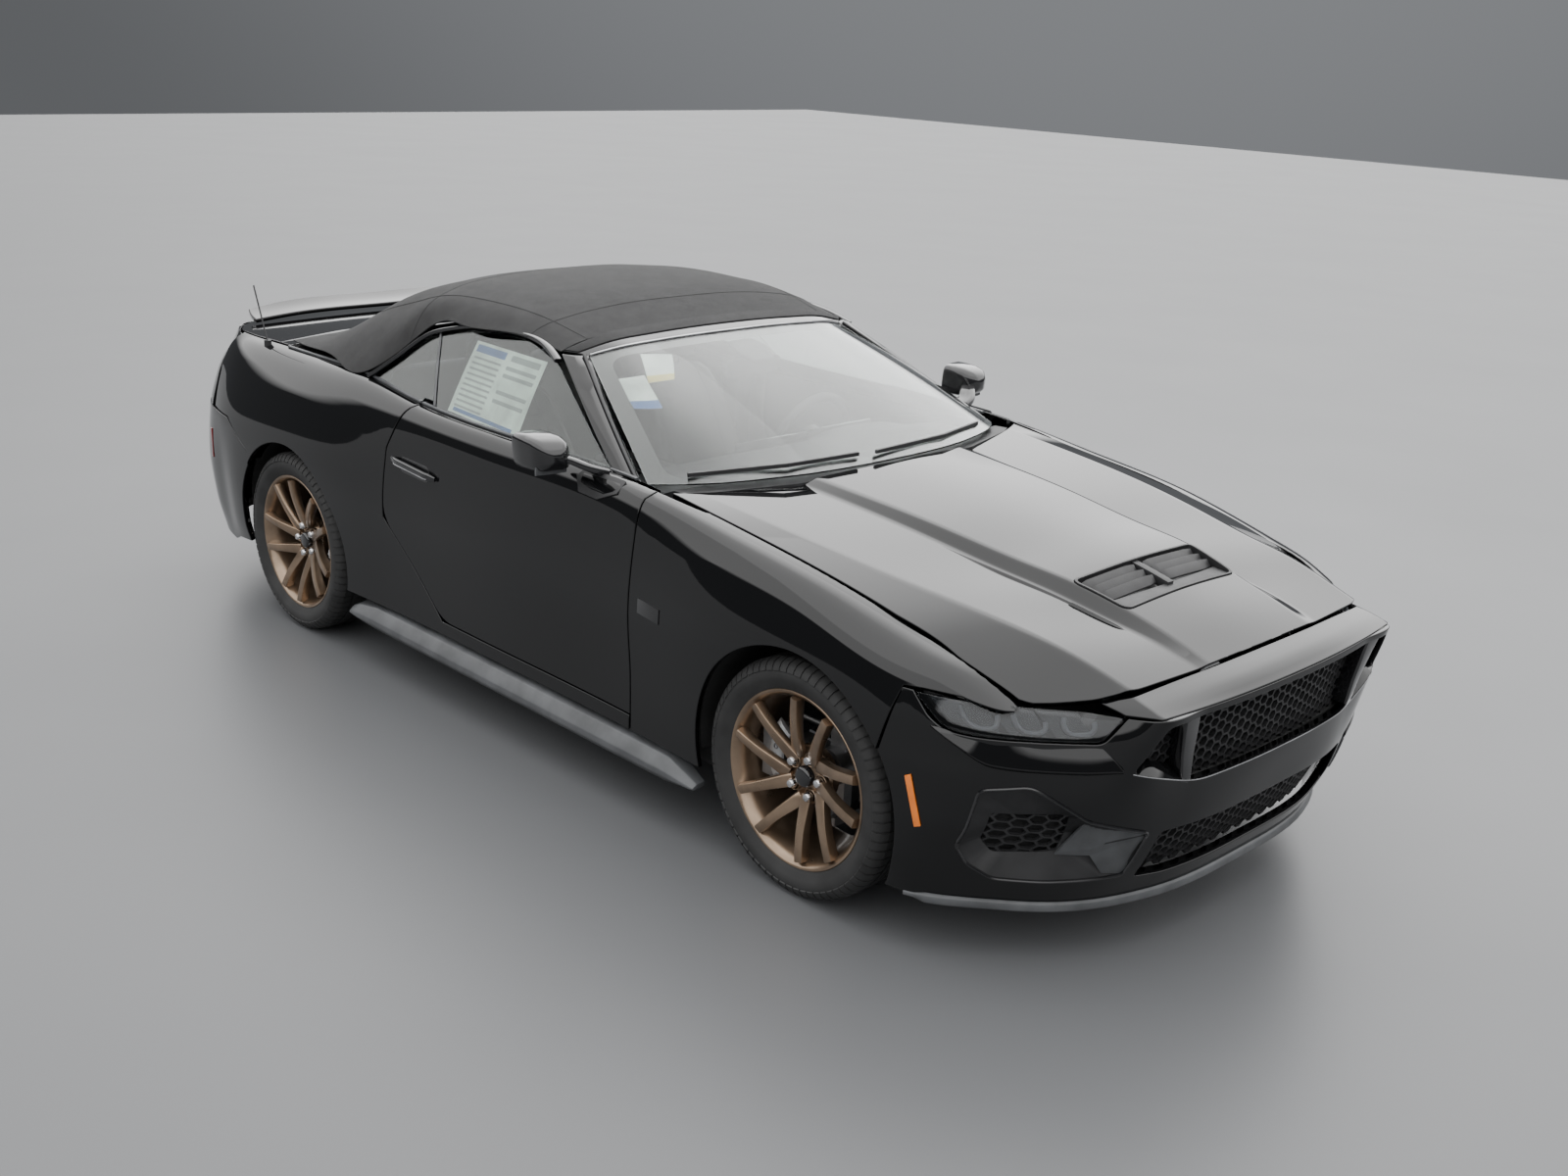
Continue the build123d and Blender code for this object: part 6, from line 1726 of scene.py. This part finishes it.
def make_camera():
    """The photo's camera."""
    data = bpy.data.cameras.new("photo_camera")
    data.lens, data.sensor_width = CAMERA_LENS, SENSOR_WIDTH
    data.clip_start, data.clip_end = 0.1, 100.0
    camera = bpy.data.objects.new("photo_camera", data)
    bpy.context.scene.collection.objects.link(camera)
    axes = Matrix((CAMERA_RIGHT, CAMERA_UP, CAMERA_BACK)).transposed()
    camera.matrix_world = Matrix.Translation(Vector(CAMERA_AT) * MM) @ axes.to_4x4()
    bpy.context.scene.camera = camera


def make_studio():
    """Pale floor, overcast sky with a brighter side, and one panel light."""
    corners = [(x * FLOOR_HALF, y * FLOOR_HALF, 0) for x, y in ((-1, -1), (1, -1), (1, 1), (-1, 1))]
    floor = mesh_object("studio_floor", corners, [(0, 1, 2, 3)])
    surface = shader("studio_floor", FLOOR_COLOUR, 0.5)
    vary(surface, noise(surface, 0.6, 3.0), 0.34, 0.46)
    floor.data.materials.append(surface)
    world = bpy.data.worlds.new("studio")
    world.use_nodes = True
    nodes, links = world.node_tree.nodes, world.node_tree.links
    sky = nodes["Background"]
    where = nodes.new("ShaderNodeTexCoord")
    split = nodes.new("ShaderNodeSeparateXYZ")
    ramp = nodes.new("ShaderNodeValToRGB")
    for stop, (position, colour) in zip(ramp.color_ramp.elements, SKY_STOPS):
        stop.position, stop.color = position, colour
    links.new(where.outputs["Generated"], split.inputs["Vector"])
    links.new(split.outputs["Z"], ramp.inputs["Fac"])
    links.new(ramp.outputs["Color"], sky.inputs["Color"])
    towards = nodes.new("ShaderNodeVectorMath")
    towards.operation = "DOT_PRODUCT"
    towards.inputs[1].default_value = Vector(SKY_BRIGHT_TOWARDS).normalized()
    glow = nodes.new("ShaderNodeMapRange")
    glow.interpolation_type = "SMOOTHSTEP"
    glow.inputs["From Min"].default_value, glow.inputs["From Max"].default_value = GLOW_FROM, GLOW_TO
    glow.inputs["To Min"].default_value, glow.inputs["To Max"].default_value = SKY_LOW, SKY_HIGH
    links.new(where.outputs["Generated"], towards.inputs[0])
    links.new(towards.outputs["Value"], glow.inputs["Value"])
    links.new(glow.outputs["Result"], sky.inputs["Strength"])
    bpy.context.scene.world = world
    light = bpy.data.lights.new("key_panel", "AREA")
    light.shape, light.size, light.size_y, light.energy = "RECTANGLE", KEY_WIDTH, KEY_LENGTH, KEY_WATTS
    lamp = bpy.data.objects.new("key_panel", light)
    lamp.location = KEY_AT
    lamp.rotation_mode = "QUATERNION"
    lamp.rotation_quaternion = (Vector(KEY_AIM) - Vector(KEY_AT)).to_track_quat("-Z", "Y")
    bpy.context.scene.collection.objects.link(lamp)


for make in (
    make_fenders, make_doors, make_quarters, make_hood, make_nose, make_headlamps, make_brows,
    make_grille, make_side_intakes, make_splitter, make_vent, make_tail, make_deck, make_soft_top,
    make_windscreen, make_side_glass, make_window_sheet, make_wheels, make_mirrors, make_handles,
    make_skirts, make_rear, make_trunk, make_seats, make_dashboard, make_console, make_cards_and_mirror,
    make_engine_bay, make_camera, make_studio,
):
    make()

CAD_SURFACES = {
    "side_skirts": SATIN_GREY, "rear_diffuser": BLACK_PLASTIC, "cowl_panel": BLACK_PLASTIC,
    "wipers": BLACK_PLASTIC, "antenna": BLACK_PLASTIC, "centre_console": CABIN, "dashboard": CABIN,
    "steering_wheel": LEATHER, "exhaust": EXHAUST, "engine_block": IRON, "front_subframe": STEEL,
    "rear_axle": STEEL, "knuckle_left": STEEL, "knuckle_right": STEEL, "wheel_arch_liners": LINER,
    "floor_pan": UNDERBODY, "floor_structure": UNDERBODY, "quarter_glass": SMOKED_GLASS,
}
for name, node in frame["nodes"].items():
    if not node.hide_render:
        node.data.materials.clear()
        node.data.materials.append(CAD_SURFACES.get(name, BLACK_PLASTIC))
